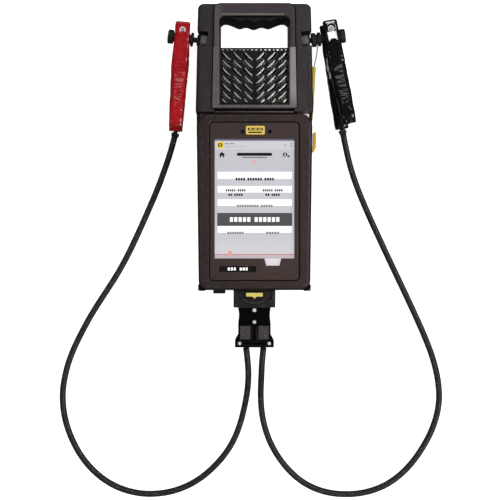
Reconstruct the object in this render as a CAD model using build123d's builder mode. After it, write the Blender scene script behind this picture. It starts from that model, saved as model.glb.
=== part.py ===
from build123d import *
from math import cos, pi, radians, sin, tan
import os

# Handheld battery load tester. Millimetres, +Z out of the screen, +Y towards the
# carry handle, origin at the centre of the flat back that the tester lies on.

# ---------------------------------------------------------------- driving dimensions
TOP_Y = 169.7
BOTTOM_Y = -169.7
WAIST_Y = 42.0
TOP_HALF = 66.8
WAIST_HALF = 69.6
BOTTOM_HALF = 66.8
WALL = 3.0
BACK_EDGE = 5.0
LOW_CORNER = 9.0
HIGH_CORNER = 7.0
REAR_Z = 45.0
SEAL = 1.0
SEAL_INSET = 0.8
COVER_LOW = REAR_Z + SEAL
SHOULDER_Z = 69.0
RAIL_Z = 73.0
FRAME_Z = 72.0
GAP = 0.3

# Carry handle and its opening.
HOLE_HALF = 41.3
HOLE_LOW = 119.0
HANDLE_LOW = 153.0
ARCH_HALF = 47.5
ARCH_TOP = 169.3
ARCH_LOW = 117.2
ARCH_CORNER = 8.0
HOLE_CORNER = 4.8
BAY_MOUTH_HALF = 42.0
SURROUND_HALF = 49.5
SURROUND_LOW = 45.9
SURROUND_RAIL = 3.6
GRIP_BACK = 28.0
GRIP_FRONT = 71.5

# Grille over the load coils.
GRILLE_HALF = 41.0
GRILLE_Z = 60.0
SHEET = 1.6
LOUVRE_COLUMNS = (8.5, 21.5, 34.5)
LOUVRE_ROWS = 6
LOUVRE_PITCH = 9.3
LOUVRE_FIRST = 60.5
LOUVRE_LENGTH = 14.4
LOUVRE_WIDTH = 3.7
SHORT_LOUVRE = 7.0
SHORT_LOUVRE_Y = 54.2
SHORT_LOUVRE_SHIFT = 2.9
COIL_YS = (62.0, 82.0, 102.0)
COIL_Z = 46.0

# Lower front: frame, bezel and tablet.
FRAME_TOP = 40.6
FRAME_BOTTOM = -169.0
FRAME_INSET = 1.0
BEZEL_HALF = 53.4
BEZEL_TOP = 29.7
BEZEL_BOTTOM = -157.8
BEZEL_Z = 70.0
BEZEL_LOW = 63.4
WINDOW_HALF = 47.1
WINDOW_TOP = 10.3
WINDOW_BOTTOM = -131.4
NOTCH_LEFT = 11.7
NOTCH_RIGHT = 31.7
NOTCH_BOTTOM = -139.9
TABLET_HALF = 51.5
TABLET_TOP = 25.0
TABLET_BOTTOM = -150.0
TABLET_LOW = 50.0
GLASS_LOW = 61.8

# Pegs that the battery clamps are parked on. The axis leans towards the handle.
PEG_Z = 40.0
PEG_Y = 130.0
PEG_ROOT = 55.0
PEG_LEAN = 8.0
PEG_GRIP_R = 5.5
PEG_DISC_R = 8.4
BOSS_R = 8.6
POCKET_REACH = 30.0
BLOCK_REACH = 22.5
BLOCK_HALF = 5.6
BLOCK_DROP = 2.8
POCKET_WIDTH = 17.5

# Dock and lead plug at the lower end.
DOCK_HALF = 25.0
DOCK_END = -190.0
DOCK_LOW = 14.0
DOCK_HIGH = 56.0
LEAD_Z = 35.0
CAVITY_HALF = 16.3
NOSE_HALF = 16.0
NOSE_LOW = 23.5
NOSE_HIGH = 46.5
PLUG_HALF = 19.5
PLUG_WAIST = 18.6
PLUG_FLARE = 23.4
PLUG_TOP = DOCK_END - GAP
PLUG_END = -238.0
GLAND_LENGTH = 1.2
PLUG_LOW = 19.0
PLUG_HIGH = 51.0
LATCH_Y = -174.6
LATCH_TRAVEL = 2.5
LATCH_HALF = 9.9

# Battery clamps, in their own frame: u runs along the clamp from the pivot pin
# towards the jaw tip, v is the height over the clamp's middle plane.
CLAMP_TIP = 54.0
PIVOT_HALF = 9.0
SKIN = 1.6
PLATE = 1.6
JAW_GAP = 6.4
PIN_R = 3.0
PIN_HEAD_R = 4.4
PIN_HALF = PIVOT_HALF + 0.4
EAR_R = 6.6
FRONT_EAR = (5.4, 7.0)
REAR_EAR = (3.5, 5.1)
SPRING_R = 7.2
SPRING_BORE_R = 4.2
SPRING_HALF = 3.2
CLAMP_ROLL = 4.4

# Leads.
CABLE_R = 3.8
RED_ROUTE = [
    (-10.0, -240.0, 35.0), (-7.9, -257.0, 33.8), (-7.0, -276.0, 25.5), (-8.6, -297.0, 14.0),
    (-12.6, -319.0, 5.9), (-18.2, -341.0, 3.9), (-27.5, -363.0, 3.9), (-43.5, -385.5, 3.9),
    (-69.0, -408.5, 3.9), (-99.5, -422.5, 3.9), (-133.0, -426.5, 3.9), (-164.0, -420.5, 3.9),
    (-190.0, -406.5, 3.9), (-212.0, -384.5, 3.9), (-227.0, -359.0, 3.9), (-236.5, -331.5, 3.9),
    (-239.5, -303.0, 3.9), (-236.0, -277.0, 3.9), (-228.5, -252.0, 3.9), (-217.0, -227.5, 3.9),
    (-203.5, -202.5, 3.9), (-187.5, -177.5, 3.9), (-171.0, -152.5, 3.9), (-156.0, -125.0, 3.9),
    (-143.0, -97.0, 3.9), (-131.0, -70.0, 3.9), (-120.0, -44.5, 5.0), (-110.8, -20.5, 8.2),
    (-103.3, 0.5, 12.0), (-98.3, 18.4, 15.0),
]
BLACK_ROUTE = [
    (11.0, -240.0, 35.0), (9.2, -257.0, 33.8), (8.6, -276.0, 25.5), (7.8, -297.0, 14.0),
    (8.6, -319.0, 5.9), (12.4, -341.0, 3.9), (20.5, -363.5, 3.9), (34.5, -386.5, 3.9),
    (55.0, -408.0, 3.9), (80.5, -421.5, 3.9), (109.0, -426.5, 3.9), (140.0, -424.0, 3.9),
    (168.0, -413.0, 3.9), (191.5, -393.5, 3.9), (210.0, -368.5, 3.9), (224.0, -341.0, 3.9),
    (231.0, -312.0, 3.9), (229.5, -284.0, 3.9), (223.0, -256.5, 3.9), (212.5, -229.0, 3.9),
    (199.5, -200.0, 3.9), (185.5, -170.0, 3.9), (170.5, -138.5, 3.9), (156.5, -108.5, 3.9),
    (143.0, -79.0, 3.9), (131.0, -51.0, 4.1), (121.5, -25.5, 6.4), (114.6, -1.0, 10.9),
    (109.6, 22.0, 15.0),
]

# Rubber feet at the lower corners.
FOOT_SIZE = 8.8
FOOT_PROUD = 0.2
FOOT_LOW = 7.0
FOOT_HIGH = 63.0

# Stylus in its channel on the right-hand side, and its tether.
STYLUS_HEAD = (72.0, 99.5, 40.0)
STYLUS_TIP = (67.5, 24.0, 40.0)
STYLUS_R = 2.4
STYLUS_TAPER = 16.0
TETHER_R = 0.6
TETHER_ROUTE = [
    (76.0, 125.9, 40.0), (76.6, 122.3, 33.0), (75.6, 114.0, 28.5), (73.6, 105.5, 32.5), (72.05, 100.4, 40.0),
]

SCREW_SPOTS = [
    (-54.0, 156.0), (54.0, 156.0), (-56.0, 56.0), (56.0, 56.0),
    (-58.5, 8.0), (58.5, 8.0), (-58.2, -152.5), (58.2, -152.5),
]
PILLAR_R = 4.6
POST_R = 4.2
POST_BORE_R = 1.85
HEAD_R = 3.3
HEAD_LOW = 0.5
HEAD_HIGH = 3.4
SHANK_R = 1.8
SHANK_REACH = 6.0

os.makedirs("parts", exist_ok=True)


def write(built, label):
    """Label a finished piece and write it as its own STEP file."""
    built.part.label = label
    export_step(built.part, f"parts/{label}.step")


def half_width(y):
    """Half of the body's width at y: widest at the waist, narrower at both ends."""
    if y > WAIST_Y:
        share = (y - WAIST_Y) / (TOP_Y - WAIST_Y)
        return WAIST_HALF + (TOP_HALF - WAIST_HALF) * share
    share = (WAIST_Y - y) / (WAIST_Y - BOTTOM_Y)
    return WAIST_HALF + (BOTTOM_HALF - WAIST_HALF) * share


def body_plan(low, high, inset, low_radius, high_radius):
    """The body's plan between two heights, inset all round, with rounded corners."""
    heights = [low + inset, high - inset]
    if heights[0] < WAIST_Y < heights[1]:
        heights.insert(1, WAIST_Y)
    right = [(half_width(y) - inset, y) for y in heights]
    left = [(-x, y) for x, y in reversed(right)]
    with BuildSketch(mode=Mode.PRIVATE) as plan:
        with BuildLine():
            Polyline(*right, *left, close=True)
        make_face()
        if low_radius:
            fillet(plan.vertices().group_by(Axis.Y)[0], low_radius)
        fillet(plan.vertices().group_by(Axis.Y)[-1], high_radius)
    return plan.sketch


def box_at(x, y, z, mode=Mode.ADD):
    """A box given by its (low, high) limits along each axis, in the running part."""
    with Locations(((x[0] + x[1]) / 2, (y[0] + y[1]) / 2, (z[0] + z[1]) / 2)):
        Box(x[1] - x[0], y[1] - y[0], z[1] - z[0], mode=mode)


def peg_plane(side):
    """Frame at the root of a peg: its normal is the peg's axis, its x points up."""
    lean = radians(PEG_LEAN)
    return Plane(
        origin=(side * PEG_ROOT, PEG_Y, PEG_Z),
        x_dir=(0, 0, 1),
        z_dir=(side * cos(lean), sin(lean), 0),
    )


def peg_pocket(side):
    """Profile of the round-bottomed pocket, open to the front, that seats a peg boss."""
    radius = BOSS_R + 0.4
    with BuildSketch(peg_plane(side), mode=Mode.PRIVATE) as profile:
        Circle(radius)
        with Locations((0, side * BLOCK_DROP)):
            Rectangle(60.0, POCKET_WIDTH, align=(Align.MIN, Align.CENTER))
    return profile.sketch


# ---------------------------------------------------------------- rear housing
outer_plan = body_plan(BOTTOM_Y, TOP_Y, 0.0, LOW_CORNER, HIGH_CORNER)
cavity_plan = body_plan(BOTTOM_Y, TOP_Y, WALL, LOW_CORNER - WALL, HIGH_CORNER - WALL)

with BuildPart() as rear_housing:
    with BuildSketch():
        add(outer_plan)
        with Locations((0, HOLE_LOW)):
            Rectangle(2 * HOLE_HALF, 100, align=(Align.CENTER, Align.MIN), mode=Mode.SUBTRACT)
    extrude(amount=REAR_Z)
    fillet(rear_housing.edges().group_by(Axis.Z)[0], BACK_EDGE)
    with BuildSketch(Plane.XY.offset(WALL)):
        add(cavity_plan)
        with Locations((0, HOLE_LOW - WALL)):
            Rectangle(2 * (HOLE_HALF + WALL), 100, align=(Align.CENTER, Align.MIN), mode=Mode.SUBTRACT)
    extrude(amount=REAR_Z, mode=Mode.SUBTRACT)
    # Pillars for the housing screws.
    with BuildSketch(Plane.XY.offset(WALL - 0.5)):
        with Locations(*SCREW_SPOTS):
            Circle(PILLAR_R)
    extrude(amount=REAR_Z - WALL + 0.5)
    # Linings behind the peg pockets and beside the stylus channel.
    for side in (-1, 1):
        box_at(sorted((side * 51.0, side * 66.0)), (118.0, 143.0), (28.0, REAR_Z))
    box_at((60.5, 67.5), (16.0, 78.0), (34.0, REAR_Z))
    for side in (-1, 1):
        extrude(peg_pocket(side), amount=POCKET_REACH, mode=Mode.SUBTRACT)
    stylus_axis = Vector(*STYLUS_HEAD) - Vector(*STYLUS_TIP)
    with BuildSketch(Plane(origin=STYLUS_TIP, z_dir=stylus_axis)):
        Circle(STYLUS_R + GAP)
    extrude(amount=stylus_axis.length + 10.0, mode=Mode.SUBTRACT)
    # Cooling slots behind the load coils.
    with BuildSketch():
        with Locations((0, 82.0)):
            with GridLocations(38.0, 9.0, 2, 6):
                SlotOverall(30.0, 3.6)
    extrude(amount=WALL + 0.1, mode=Mode.SUBTRACT)
    # A shallow moulded recess on the back.
    box_at((-32.0, 32.0), (-70.0, -20.0), (-1.0, 0.6), mode=Mode.SUBTRACT)
    # Ways through the lower wall for the contacts and the port.
    box_at((-13.0, 13.0), (BOTTOM_Y - 1, BOTTOM_Y + WALL + 1), (28.5, 39.0), mode=Mode.SUBTRACT)
    box_at((-48.2, -36.8), (BOTTOM_Y - 1, BOTTOM_Y + WALL + 1), (22.0, 34.0), mode=Mode.SUBTRACT)
    with Locations(*[Location((x, y, 0), (180, 0, 0)) for x, y in SCREW_SPOTS]):
        CounterBoreHole(radius=SHANK_R + 0.2, counter_bore_radius=HEAD_R + 0.3, counter_bore_depth=HEAD_HIGH)
write(rear_housing, "rear_housing")

with BuildPart() as housing_screws:
    with BuildSketch(Plane.XY.offset(HEAD_LOW)):
        with Locations(*SCREW_SPOTS):
            Circle(HEAD_R)
    extrude(amount=HEAD_HIGH - HEAD_LOW)
    with BuildSketch(Plane.XY.offset(HEAD_HIGH)):
        with Locations(*SCREW_SPOTS):
            Circle(SHANK_R)
    extrude(amount=COVER_LOW + SHANK_REACH - HEAD_HIGH)
    with BuildSketch(Plane.XY.offset(HEAD_LOW)):
        with Locations(*SCREW_SPOTS):
            RegularPolygon(1.4, 6)
    extrude(amount=1.6, mode=Mode.SUBTRACT)
write(housing_screws, "housing_screws")

# Seal between the rear housing and the front shells, on the housing's rim.
seal_outer = body_plan(BOTTOM_Y, TOP_Y, SEAL_INSET, LOW_CORNER - SEAL_INSET, HIGH_CORNER - SEAL_INSET)
seal_inner = body_plan(BOTTOM_Y, TOP_Y, WALL - SEAL_INSET, LOW_CORNER - 2.2, HIGH_CORNER - 2.2)
with BuildPart() as housing_seal:
    with BuildSketch(Plane.XY.offset(REAR_Z)):
        add(seal_outer)
        add(seal_inner, mode=Mode.SUBTRACT)
        with Locations((0, HOLE_LOW - 10)):
            Rectangle(2 * HOLE_HALF, 100, align=(Align.CENTER, Align.MIN), mode=Mode.SUBTRACT)
    extrude(amount=SEAL)
    for side in (-1, 1):
        extrude(peg_pocket(side), amount=POCKET_REACH, mode=Mode.SUBTRACT)
write(housing_seal, "housing_seal")

# ---------------------------------------------------------------- upper front shells
with BuildSketch(mode=Mode.PRIVATE) as middle_bay:
    with BuildLine():
        Polyline(
            (-SURROUND_HALF - GAP, SURROUND_LOW - GAP),
            (SURROUND_HALF + GAP, SURROUND_LOW - GAP),
            (ARCH_HALF + GAP, ARCH_TOP + GAP),
            (-ARCH_HALF - GAP, ARCH_TOP + GAP),
            close=True,
        )
    make_face()
    fillet(middle_bay.vertices().group_by(Axis.Y)[-1], ARCH_CORNER + GAP)
    with Locations((0, ARCH_TOP - ARCH_CORNER)):
        Rectangle(2 * BAY_MOUTH_HALF, 20.0, align=(Align.CENTER, Align.MIN))

shoulder_plan = body_plan(WAIST_Y, TOP_Y, 0.0, 0.0, HIGH_CORNER)
shoulder_cavity = body_plan(WAIST_Y, TOP_Y, WALL, 0.0, HIGH_CORNER - WALL)
with BuildPart() as upper_cover:
    with BuildSketch(Plane.XY.offset(COVER_LOW)):
        add(shoulder_plan)
    extrude(amount=SHOULDER_Z - COVER_LOW)
    outer_rim = upper_cover.faces().sort_by(Axis.Z)[-1].outer_wire().edges()
    fillet(outer_rim.filter_by(lambda edge: edge.center().Y > WAIST_Y + 1), 4.0)
    # The bay for the handle arch and the grille opens through the top.
    extrude(Plane.XY.offset(COVER_LOW - 1.0) * middle_bay.sketch, amount=SHOULDER_Z, mode=Mode.SUBTRACT)
    with BuildSketch(Plane.XY.offset(COVER_LOW)):
        add(shoulder_cavity)
        add(offset(middle_bay.sketch, WALL, mode=Mode.PRIVATE), mode=Mode.SUBTRACT)
    extrude(amount=SHOULDER_Z - COVER_LOW - WALL - 1.0, mode=Mode.SUBTRACT)
    with BuildSketch(Plane.XY.offset(COVER_LOW)):
        with Locations(*SCREW_SPOTS[:4]):
            Circle(POST_R)
    extrude(amount=SHOULDER_Z - COVER_LOW - WALL)
    for side in (-1, 1):
        box_at(sorted((side * 51.0, side * 65.0)), (118.0, 143.0), (COVER_LOW, SHOULDER_Z - WALL))
    for side in (-1, 1):
        extrude(peg_pocket(side), amount=POCKET_REACH, mode=Mode.SUBTRACT)
    # The lower bay wall stays low, which leaves a dark gap over the front frame.
    box_at((-ARCH_HALF, ARCH_HALF), (WAIST_Y - 1, SURROUND_LOW), (58.0, 80.0), mode=Mode.SUBTRACT)
    with BuildSketch(Plane.XY.offset(COVER_LOW)):
        with Locations(*SCREW_SPOTS[:4]):
            Circle(POST_BORE_R)
    extrude(amount=SHANK_REACH + 2.0, mode=Mode.SUBTRACT)
write(upper_cover, "upper_cover")


def front_edges(built, low):
    """The edges of a piece's front face that lie above a height on the body."""
    face = built.faces().sort_by(Axis.Z)[-1]
    return face.edges().filter_by(lambda edge: edge.center().Y > low)


def hole_corner(edge):
    """Whether an upright edge lies at an upper corner of the carry-handle opening."""
    place = edge.center()
    return abs(place.Y - HANDLE_LOW) < 0.2 and abs(abs(place.X) - HOLE_HALF) < 0.2


with BuildPart() as handle_frame:
    with BuildSketch(Plane.XY.offset(COVER_LOW)):
        with BuildLine():
            Polyline(
                (-ARCH_HALF - 0.7, ARCH_LOW),
                (ARCH_HALF + 0.7, ARCH_LOW),
                (ARCH_HALF, ARCH_TOP),
                (-ARCH_HALF, ARCH_TOP),
                close=True,
            )
        make_face()
    extrude(amount=RAIL_Z - COVER_LOW)
    fillet(handle_frame.edges().filter_by(Axis.Z).group_by(Axis.Y)[-1], ARCH_CORNER)
    with BuildSketch(Plane.XY.offset(COVER_LOW)):
        with Locations((0, ARCH_LOW - 1)):
            Rectangle(2 * HOLE_HALF, HANDLE_LOW - ARCH_LOW + 1, align=(Align.CENTER, Align.MIN))
    extrude(amount=RAIL_Z, mode=Mode.SUBTRACT)
    fillet(handle_frame.edges().filter_by(Axis.Z).filter_by(hole_corner), HOLE_CORNER + GAP)
    fillet(front_edges(handle_frame, ARCH_LOW + 1), 2.2)
write(handle_frame, "handle_frame")

with BuildPart() as grille_surround:
    with BuildSketch(Plane.XY.offset(COVER_LOW)):
        with BuildLine():
            Polyline(
                (-SURROUND_HALF, SURROUND_LOW),
                (SURROUND_HALF, SURROUND_LOW),
                (ARCH_HALF + 0.7, ARCH_LOW - GAP),
                (-ARCH_HALF - 0.7, ARCH_LOW - GAP),
                close=True,
            )
        make_face()
        with Locations((0, SURROUND_LOW + SURROUND_RAIL)):
            Rectangle(2 * (GRILLE_HALF + 0.2), 100, align=(Align.CENTER, Align.MIN), mode=Mode.SUBTRACT)
    extrude(amount=RAIL_Z - COVER_LOW)
    inner_top = front_edges(grille_surround, SURROUND_LOW + 1).filter_by(
        lambda edge: abs(edge.center().X) < GRILLE_HALF + 1 and edge.center().Y < ARCH_LOW - 1
    )
    chamfer(inner_top, 1.2)
write(grille_surround, "grille_surround")

# Lobed grip on the underside of the handle. It reaches from the back of the bar to
# just behind its front band.
GRIP_LOBES = [
    (-HOLE_HALF + GAP, 147.6), (-39.4, 150.4), (-35.6, 152.0), (-30.0, 150.9), (-18.0, 145.7),
    (-10.0, 148.4), (-1.0, 144.7), (8.5, 148.4), (17.0, 145.7), (29.0, 150.9), (34.6, 152.0),
    (38.8, 150.4), (HOLE_HALF - GAP, 147.6),
]
with BuildPart() as handle_grip:
    for low, high, top in ((GRIP_BACK, COVER_LOW, TOP_Y - GAP), (COVER_LOW, GRIP_FRONT, HANDLE_LOW - 0.1)):
        with BuildSketch(Plane.XY.offset(low)) as grip_plan:
            with BuildLine():
                Spline(*GRIP_LOBES)
                Polyline(GRIP_LOBES[-1], (GRIP_LOBES[-1][0], top), (GRIP_LOBES[0][0], top), GRIP_LOBES[0])
            make_face()
            if high == GRIP_FRONT:
                fillet(grip_plan.vertices().group_by(Axis.Y)[-1], HOLE_CORNER)
        extrude(amount=high - low)
    back_edges = handle_grip.faces().sort_by(Axis.Z)[0].edges()
    fillet(back_edges.filter_by(lambda edge: edge.center().Y > TOP_Y - 1.0), 4.0)
write(handle_grip, "handle_grip")

# ---------------------------------------------------------------- grille and load coils
grille_low = SURROUND_LOW + SURROUND_RAIL + 0.2
grille_high = HOLE_LOW - 0.6
with BuildPart() as grille:
    box_at((-GRILLE_HALF, GRILLE_HALF), (grille_low, grille_high), (GRILLE_Z, GRILLE_Z + SHEET))
    # The upper edge is folded down towards the back.
    box_at((-GRILLE_HALF + 2, GRILLE_HALF - 2), (grille_high - SHEET, grille_high), (COVER_LOW, GRILLE_Z + 1))
    for side in (-1, 1):
        with BuildSketch(Plane.XY.offset(GRILLE_Z)):
            for column in LOUVRE_COLUMNS:
                spots = [(side * column, LOUVRE_FIRST + LOUVRE_PITCH * row) for row in range(LOUVRE_ROWS)]
                with Locations(*spots):
                    SlotOverall(LOUVRE_LENGTH, LOUVRE_WIDTH, rotation=side * 45.0)
                with Locations((side * (column + SHORT_LOUVRE_SHIFT), SHORT_LOUVRE_Y)):
                    SlotOverall(SHORT_LOUVRE, LOUVRE_WIDTH, rotation=side * 45.0)
        extrude(amount=SHEET, mode=Mode.SUBTRACT)
write(grille, "grille")

with BuildPart() as load_coils:
    for coil_y in COIL_YS:
        with Locations(Location((0, coil_y, COIL_Z), (0, 90, 0))):
            Cylinder(8.0, 74.0)
            Cylinder(6.4, 74.0, mode=Mode.SUBTRACT)
write(load_coils, "load_coils")

with BuildPart() as coil_formers:
    for coil_y in COIL_YS:
        with Locations(Location((0, coil_y, COIL_Z), (0, 90, 0))):
            Cylinder(5.0, 80.0)
write(coil_formers, "coil_formers")

# A folded heat shield: floor behind the coils and a standing end plate at each side.
with BuildPart() as heat_shield:
    box_at((-41.0, 41.0), (50.0, 111.0), (32.0, 33.0))
    for side in (-1, 1):
        box_at(sorted((side * 40.0, side * 41.0)), (50.0, 111.0), (32.0, 58.0))
write(heat_shield, "heat_shield")

# ---------------------------------------------------------------- lower front
frame_plan = body_plan(FRAME_BOTTOM, FRAME_TOP, FRAME_INSET, 11.0, 15.0)
frame_cavity = body_plan(FRAME_BOTTOM, FRAME_TOP, FRAME_INSET + WALL, 8.0, 12.0)


def bezel_plan(grow, radius):
    """The bezel's outline, grown or shrunk all round."""
    with BuildSketch(mode=Mode.PRIVATE) as plan:
        with Locations((0, (BEZEL_TOP + BEZEL_BOTTOM) / 2)):
            RectangleRounded(2 * (BEZEL_HALF + grow), BEZEL_TOP - BEZEL_BOTTOM + 2 * grow, radius)
    return plan.sketch


with BuildPart() as front_frame:
    with BuildSketch(Plane.XY.offset(COVER_LOW)):
        add(frame_plan)
    extrude(amount=FRAME_Z - COVER_LOW)
    fillet(front_frame.faces().sort_by(Axis.Z)[-1].edges(), 4.6)
    with BuildSketch(Plane.XY.offset(COVER_LOW)):
        add(bezel_plan(0.0, 5.0))
    extrude(amount=FRAME_Z, mode=Mode.SUBTRACT)
    chamfer(front_frame.faces().sort_by(Axis.Z)[-1].inner_wires()[0].edges(), 1.0)
    with BuildSketch(Plane.XY.offset(COVER_LOW)):
        add(frame_cavity)
        add(bezel_plan(WALL, 8.0), mode=Mode.SUBTRACT)
    extrude(amount=FRAME_Z - COVER_LOW - WALL - 1.6, mode=Mode.SUBTRACT)
    with BuildSketch(Plane.XY.offset(COVER_LOW)):
        with Locations(*SCREW_SPOTS[4:]):
            Circle(POST_R)
    extrude(amount=FRAME_Z - COVER_LOW - WALL - 2.5)
    # Ledge that carries the bezel.
    with BuildSketch(Plane.XY.offset(BEZEL_LOW - 3.0)):
        add(bezel_plan(0.5, 5.0))
        with Locations((0, (BEZEL_TOP + BEZEL_BOTTOM) / 2)):
            Rectangle(2 * TABLET_HALF + 0.6, TABLET_TOP - TABLET_BOTTOM + 5.0, mode=Mode.SUBTRACT)
    extrude(amount=3.0)
    with BuildSketch(Plane.XY.offset(COVER_LOW)):
        with Locations(*SCREW_SPOTS[4:]):
            Circle(POST_BORE_R)
    extrude(amount=SHANK_REACH + 2.0, mode=Mode.SUBTRACT)
write(front_frame, "front_frame")

BADGE = (1.0, 19.6)
BADGE_SIZE = (22.2, 10.2)
LABEL = (-19.8, -143.8)
LABEL_SIZE = (44.0, 7.3)
SENSOR_SPOTS = [(BADGE[0] - 15.0, 18.0), (BADGE[0] + 17.0, 18.0)]
SENSOR_R = 2.7
with BuildPart() as inner_bezel:
    with BuildSketch(Plane.XY.offset(BEZEL_LOW)):
        add(bezel_plan(-0.8, 4.3))
    extrude(amount=BEZEL_Z - BEZEL_LOW)
    with BuildSketch(Plane.XY.offset(BEZEL_LOW)):
        with BuildLine():
            Polyline(
                (-WINDOW_HALF, WINDOW_TOP),
                (WINDOW_HALF, WINDOW_TOP),
                (WINDOW_HALF, WINDOW_BOTTOM),
                (NOTCH_RIGHT, WINDOW_BOTTOM),
                (NOTCH_RIGHT - 2.2, NOTCH_BOTTOM),
                (NOTCH_LEFT + 2.2, NOTCH_BOTTOM),
                (NOTCH_LEFT, WINDOW_BOTTOM),
                (-WINDOW_HALF, WINDOW_BOTTOM),
                close=True,
            )
        make_face()
    extrude(amount=BEZEL_Z, mode=Mode.SUBTRACT)
    chamfer(inner_bezel.faces().sort_by(Axis.Z)[-1].inner_wires()[0].edges(), 1.2)
    with BuildSketch(Plane.XY.offset(BEZEL_Z - 0.5)):
        with Locations(BADGE):
            RectangleRounded(BADGE_SIZE[0] + 0.2, BADGE_SIZE[1] + 0.2, 1.6)
        with Locations(LABEL):
            Rectangle(LABEL_SIZE[0] + 0.3, LABEL_SIZE[1] + 0.3)
    extrude(amount=1.0, mode=Mode.SUBTRACT)
    with Locations(*[(x, y, BEZEL_Z - 1.5) for x, y in SENSOR_SPOTS]):
        Cylinder(SENSOR_R + 0.1, 3.2, mode=Mode.SUBTRACT)
write(inner_bezel, "inner_bezel")

with BuildPart() as badge:
    with BuildSketch(Plane.XY.offset(BEZEL_Z - 0.5)):
        with Locations(BADGE):
            RectangleRounded(*BADGE_SIZE, 1.5)
    extrude(amount=1.3)
write(badge, "badge")

with BuildPart() as label_plate:
    with BuildSketch(Plane.XY.offset(BEZEL_Z - 0.5)):
        with Locations(LABEL):
            Rectangle(*LABEL_SIZE)
    extrude(amount=0.6)
write(label_plate, "label_plate")

with BuildPart() as bezel_windows:
    with Locations(*[(x, y, BEZEL_Z - 1.75) for x, y in SENSOR_SPOTS]):
        Cylinder(SENSOR_R, 2.5)
write(bezel_windows, "bezel_windows")

TABLET_MIDDLE = (TABLET_TOP + TABLET_BOTTOM) / 2
TABLET_LONG = TABLET_TOP - TABLET_BOTTOM
with BuildPart() as tablet_case:
    with BuildSketch(Plane.XY.offset(TABLET_LOW)):
        with Locations((0, TABLET_MIDDLE)):
            RectangleRounded(2 * TABLET_HALF, TABLET_LONG, 6.0)
    extrude(amount=GLASS_LOW - TABLET_LOW)
    with BuildSketch(Plane.XY.offset(TABLET_LOW + 1.5)):
        with Locations((0, TABLET_MIDDLE)):
            RectangleRounded(2 * TABLET_HALF - 3.0, TABLET_LONG - 3.0, 4.5)
    extrude(amount=GLASS_LOW, mode=Mode.SUBTRACT)
write(tablet_case, "tablet_case")

with BuildPart() as screen_glass:
    with BuildSketch(Plane.XY.offset(GLASS_LOW)):
        with Locations((0, TABLET_MIDDLE)):
            RectangleRounded(2 * TABLET_HALF, TABLET_LONG, 6.0)
    extrude(amount=BEZEL_LOW - GLASS_LOW)
write(screen_glass, "screen_glass")

with BuildPart() as lcd_panel:
    box_at((-49.5, 49.5), (-146.0, 13.0), (58.8, GLASS_LOW))
write(lcd_panel, "lcd_panel")

with BuildPart() as tablet_battery:
    box_at((-44.0, 44.0), (-120.0, -30.0), (51.6, 56.6))
    fillet(tablet_battery.edges().filter_by(Axis.Z), 3.0)
write(tablet_battery, "tablet_battery")

# ---------------------------------------------------------------- tester electronics
with BuildPart() as main_board:
    box_at((-50.0, 50.0), (-150.0, -20.0), (24.0, 25.6))
    box_at((-34.0, -14.0), (-70.0, -50.0), (25.6, 28.6))
    box_at((0.0, 14.0), (-66.0, -52.0), (25.6, 28.0))
    for spot in ((24.0, -60.0), (38.0, -60.0), (31.0, -82.0)):
        with Locations((*spot, 25.6)):
            Cylinder(5.0, 12.0, align=(Align.CENTER, Align.CENTER, Align.MIN))
    with BuildSketch(Plane.XY.offset(24.0)):
        with Locations((0, -85.0)):
            with GridLocations(92.0, 120.0, 2, 2):
                Circle(1.7)
    extrude(amount=1.6, mode=Mode.SUBTRACT)
write(main_board, "main_board")

with BuildPart() as load_relay:
    box_at((-16.0, 16.0), (2.0, 36.0), (WALL, 36.0))
    fillet(load_relay.edges().filter_by(Axis.Z), 2.0)
write(load_relay, "load_relay")

# Copper bars from the dock contacts, under the board, to the load relay.
with BuildPart() as bus_bars:
    for side in (-1, 1):
        box_at(sorted((side * 5.0, side * 13.0)), (-150.0, 1.8), (16.0, 18.0))
        box_at(sorted((side * 5.0, side * 13.0)), (-152.0, -150.0), (16.0, 33.4))
write(bus_bars, "bus_bars")

with BuildPart() as port_jack:
    box_at((-48.0, -37.0), (-160.0, -146.0), (26.0, 35.0))
    box_at((-46.5, -38.5), (-160.0, -152.0), (27.5, 32.0), mode=Mode.SUBTRACT)
write(port_jack, "port_jack")

# ---------------------------------------------------------------- feet, clip and stylus
with BuildPart() as corner_feet:
    with BuildSketch(Plane.XY.offset(FOOT_LOW)):
        for side in (-1, 1):
            with Locations((side * (BOTTOM_HALF - FOOT_SIZE / 2), BOTTOM_Y + FOOT_SIZE / 2 - FOOT_PROUD)):
                RectangleRounded(FOOT_SIZE, FOOT_SIZE, 1.6)
        add(body_plan(BOTTOM_Y, TOP_Y, -0.02, LOW_CORNER, HIGH_CORNER), mode=Mode.SUBTRACT)
    extrude(amount=FOOT_HIGH - FOOT_LOW)
write(corner_feet, "corner_feet")

with BuildPart() as side_clip:
    clip_x = half_width(0.0) + 0.05
    with BuildSketch(Plane.XY.offset(32.0)):
        with BuildLine():
            Polyline(
                (half_width(-4.0) + 0.05, -4.0),
                (clip_x + 3.2, -2.0), (clip_x + 5.2, 3.0), (clip_x + 5.6, 9.0), (clip_x + 5.4, 19.5),
                (clip_x + 3.4, 21.4), (clip_x + 1.7, 19.5), (clip_x + 1.7, 4.5),
                (half_width(3.5) + 0.05, 3.5),
                close=True,
            )
        make_face()
    extrude(amount=12.0)
write(side_clip, "side_clip")

with BuildPart() as stylus:
    tip_plane = Plane(origin=STYLUS_TIP, x_dir=(0, 0, 1), z_dir=stylus_axis)
    with BuildSketch(tip_plane):
        Circle(0.8)
    with BuildSketch(tip_plane.offset(STYLUS_TAPER)):
        Circle(STYLUS_R)
    loft()
    with BuildSketch(tip_plane.offset(STYLUS_TAPER)):
        Circle(STYLUS_R)
    extrude(amount=stylus_axis.length - STYLUS_TAPER)
write(stylus, "stylus")


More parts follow.
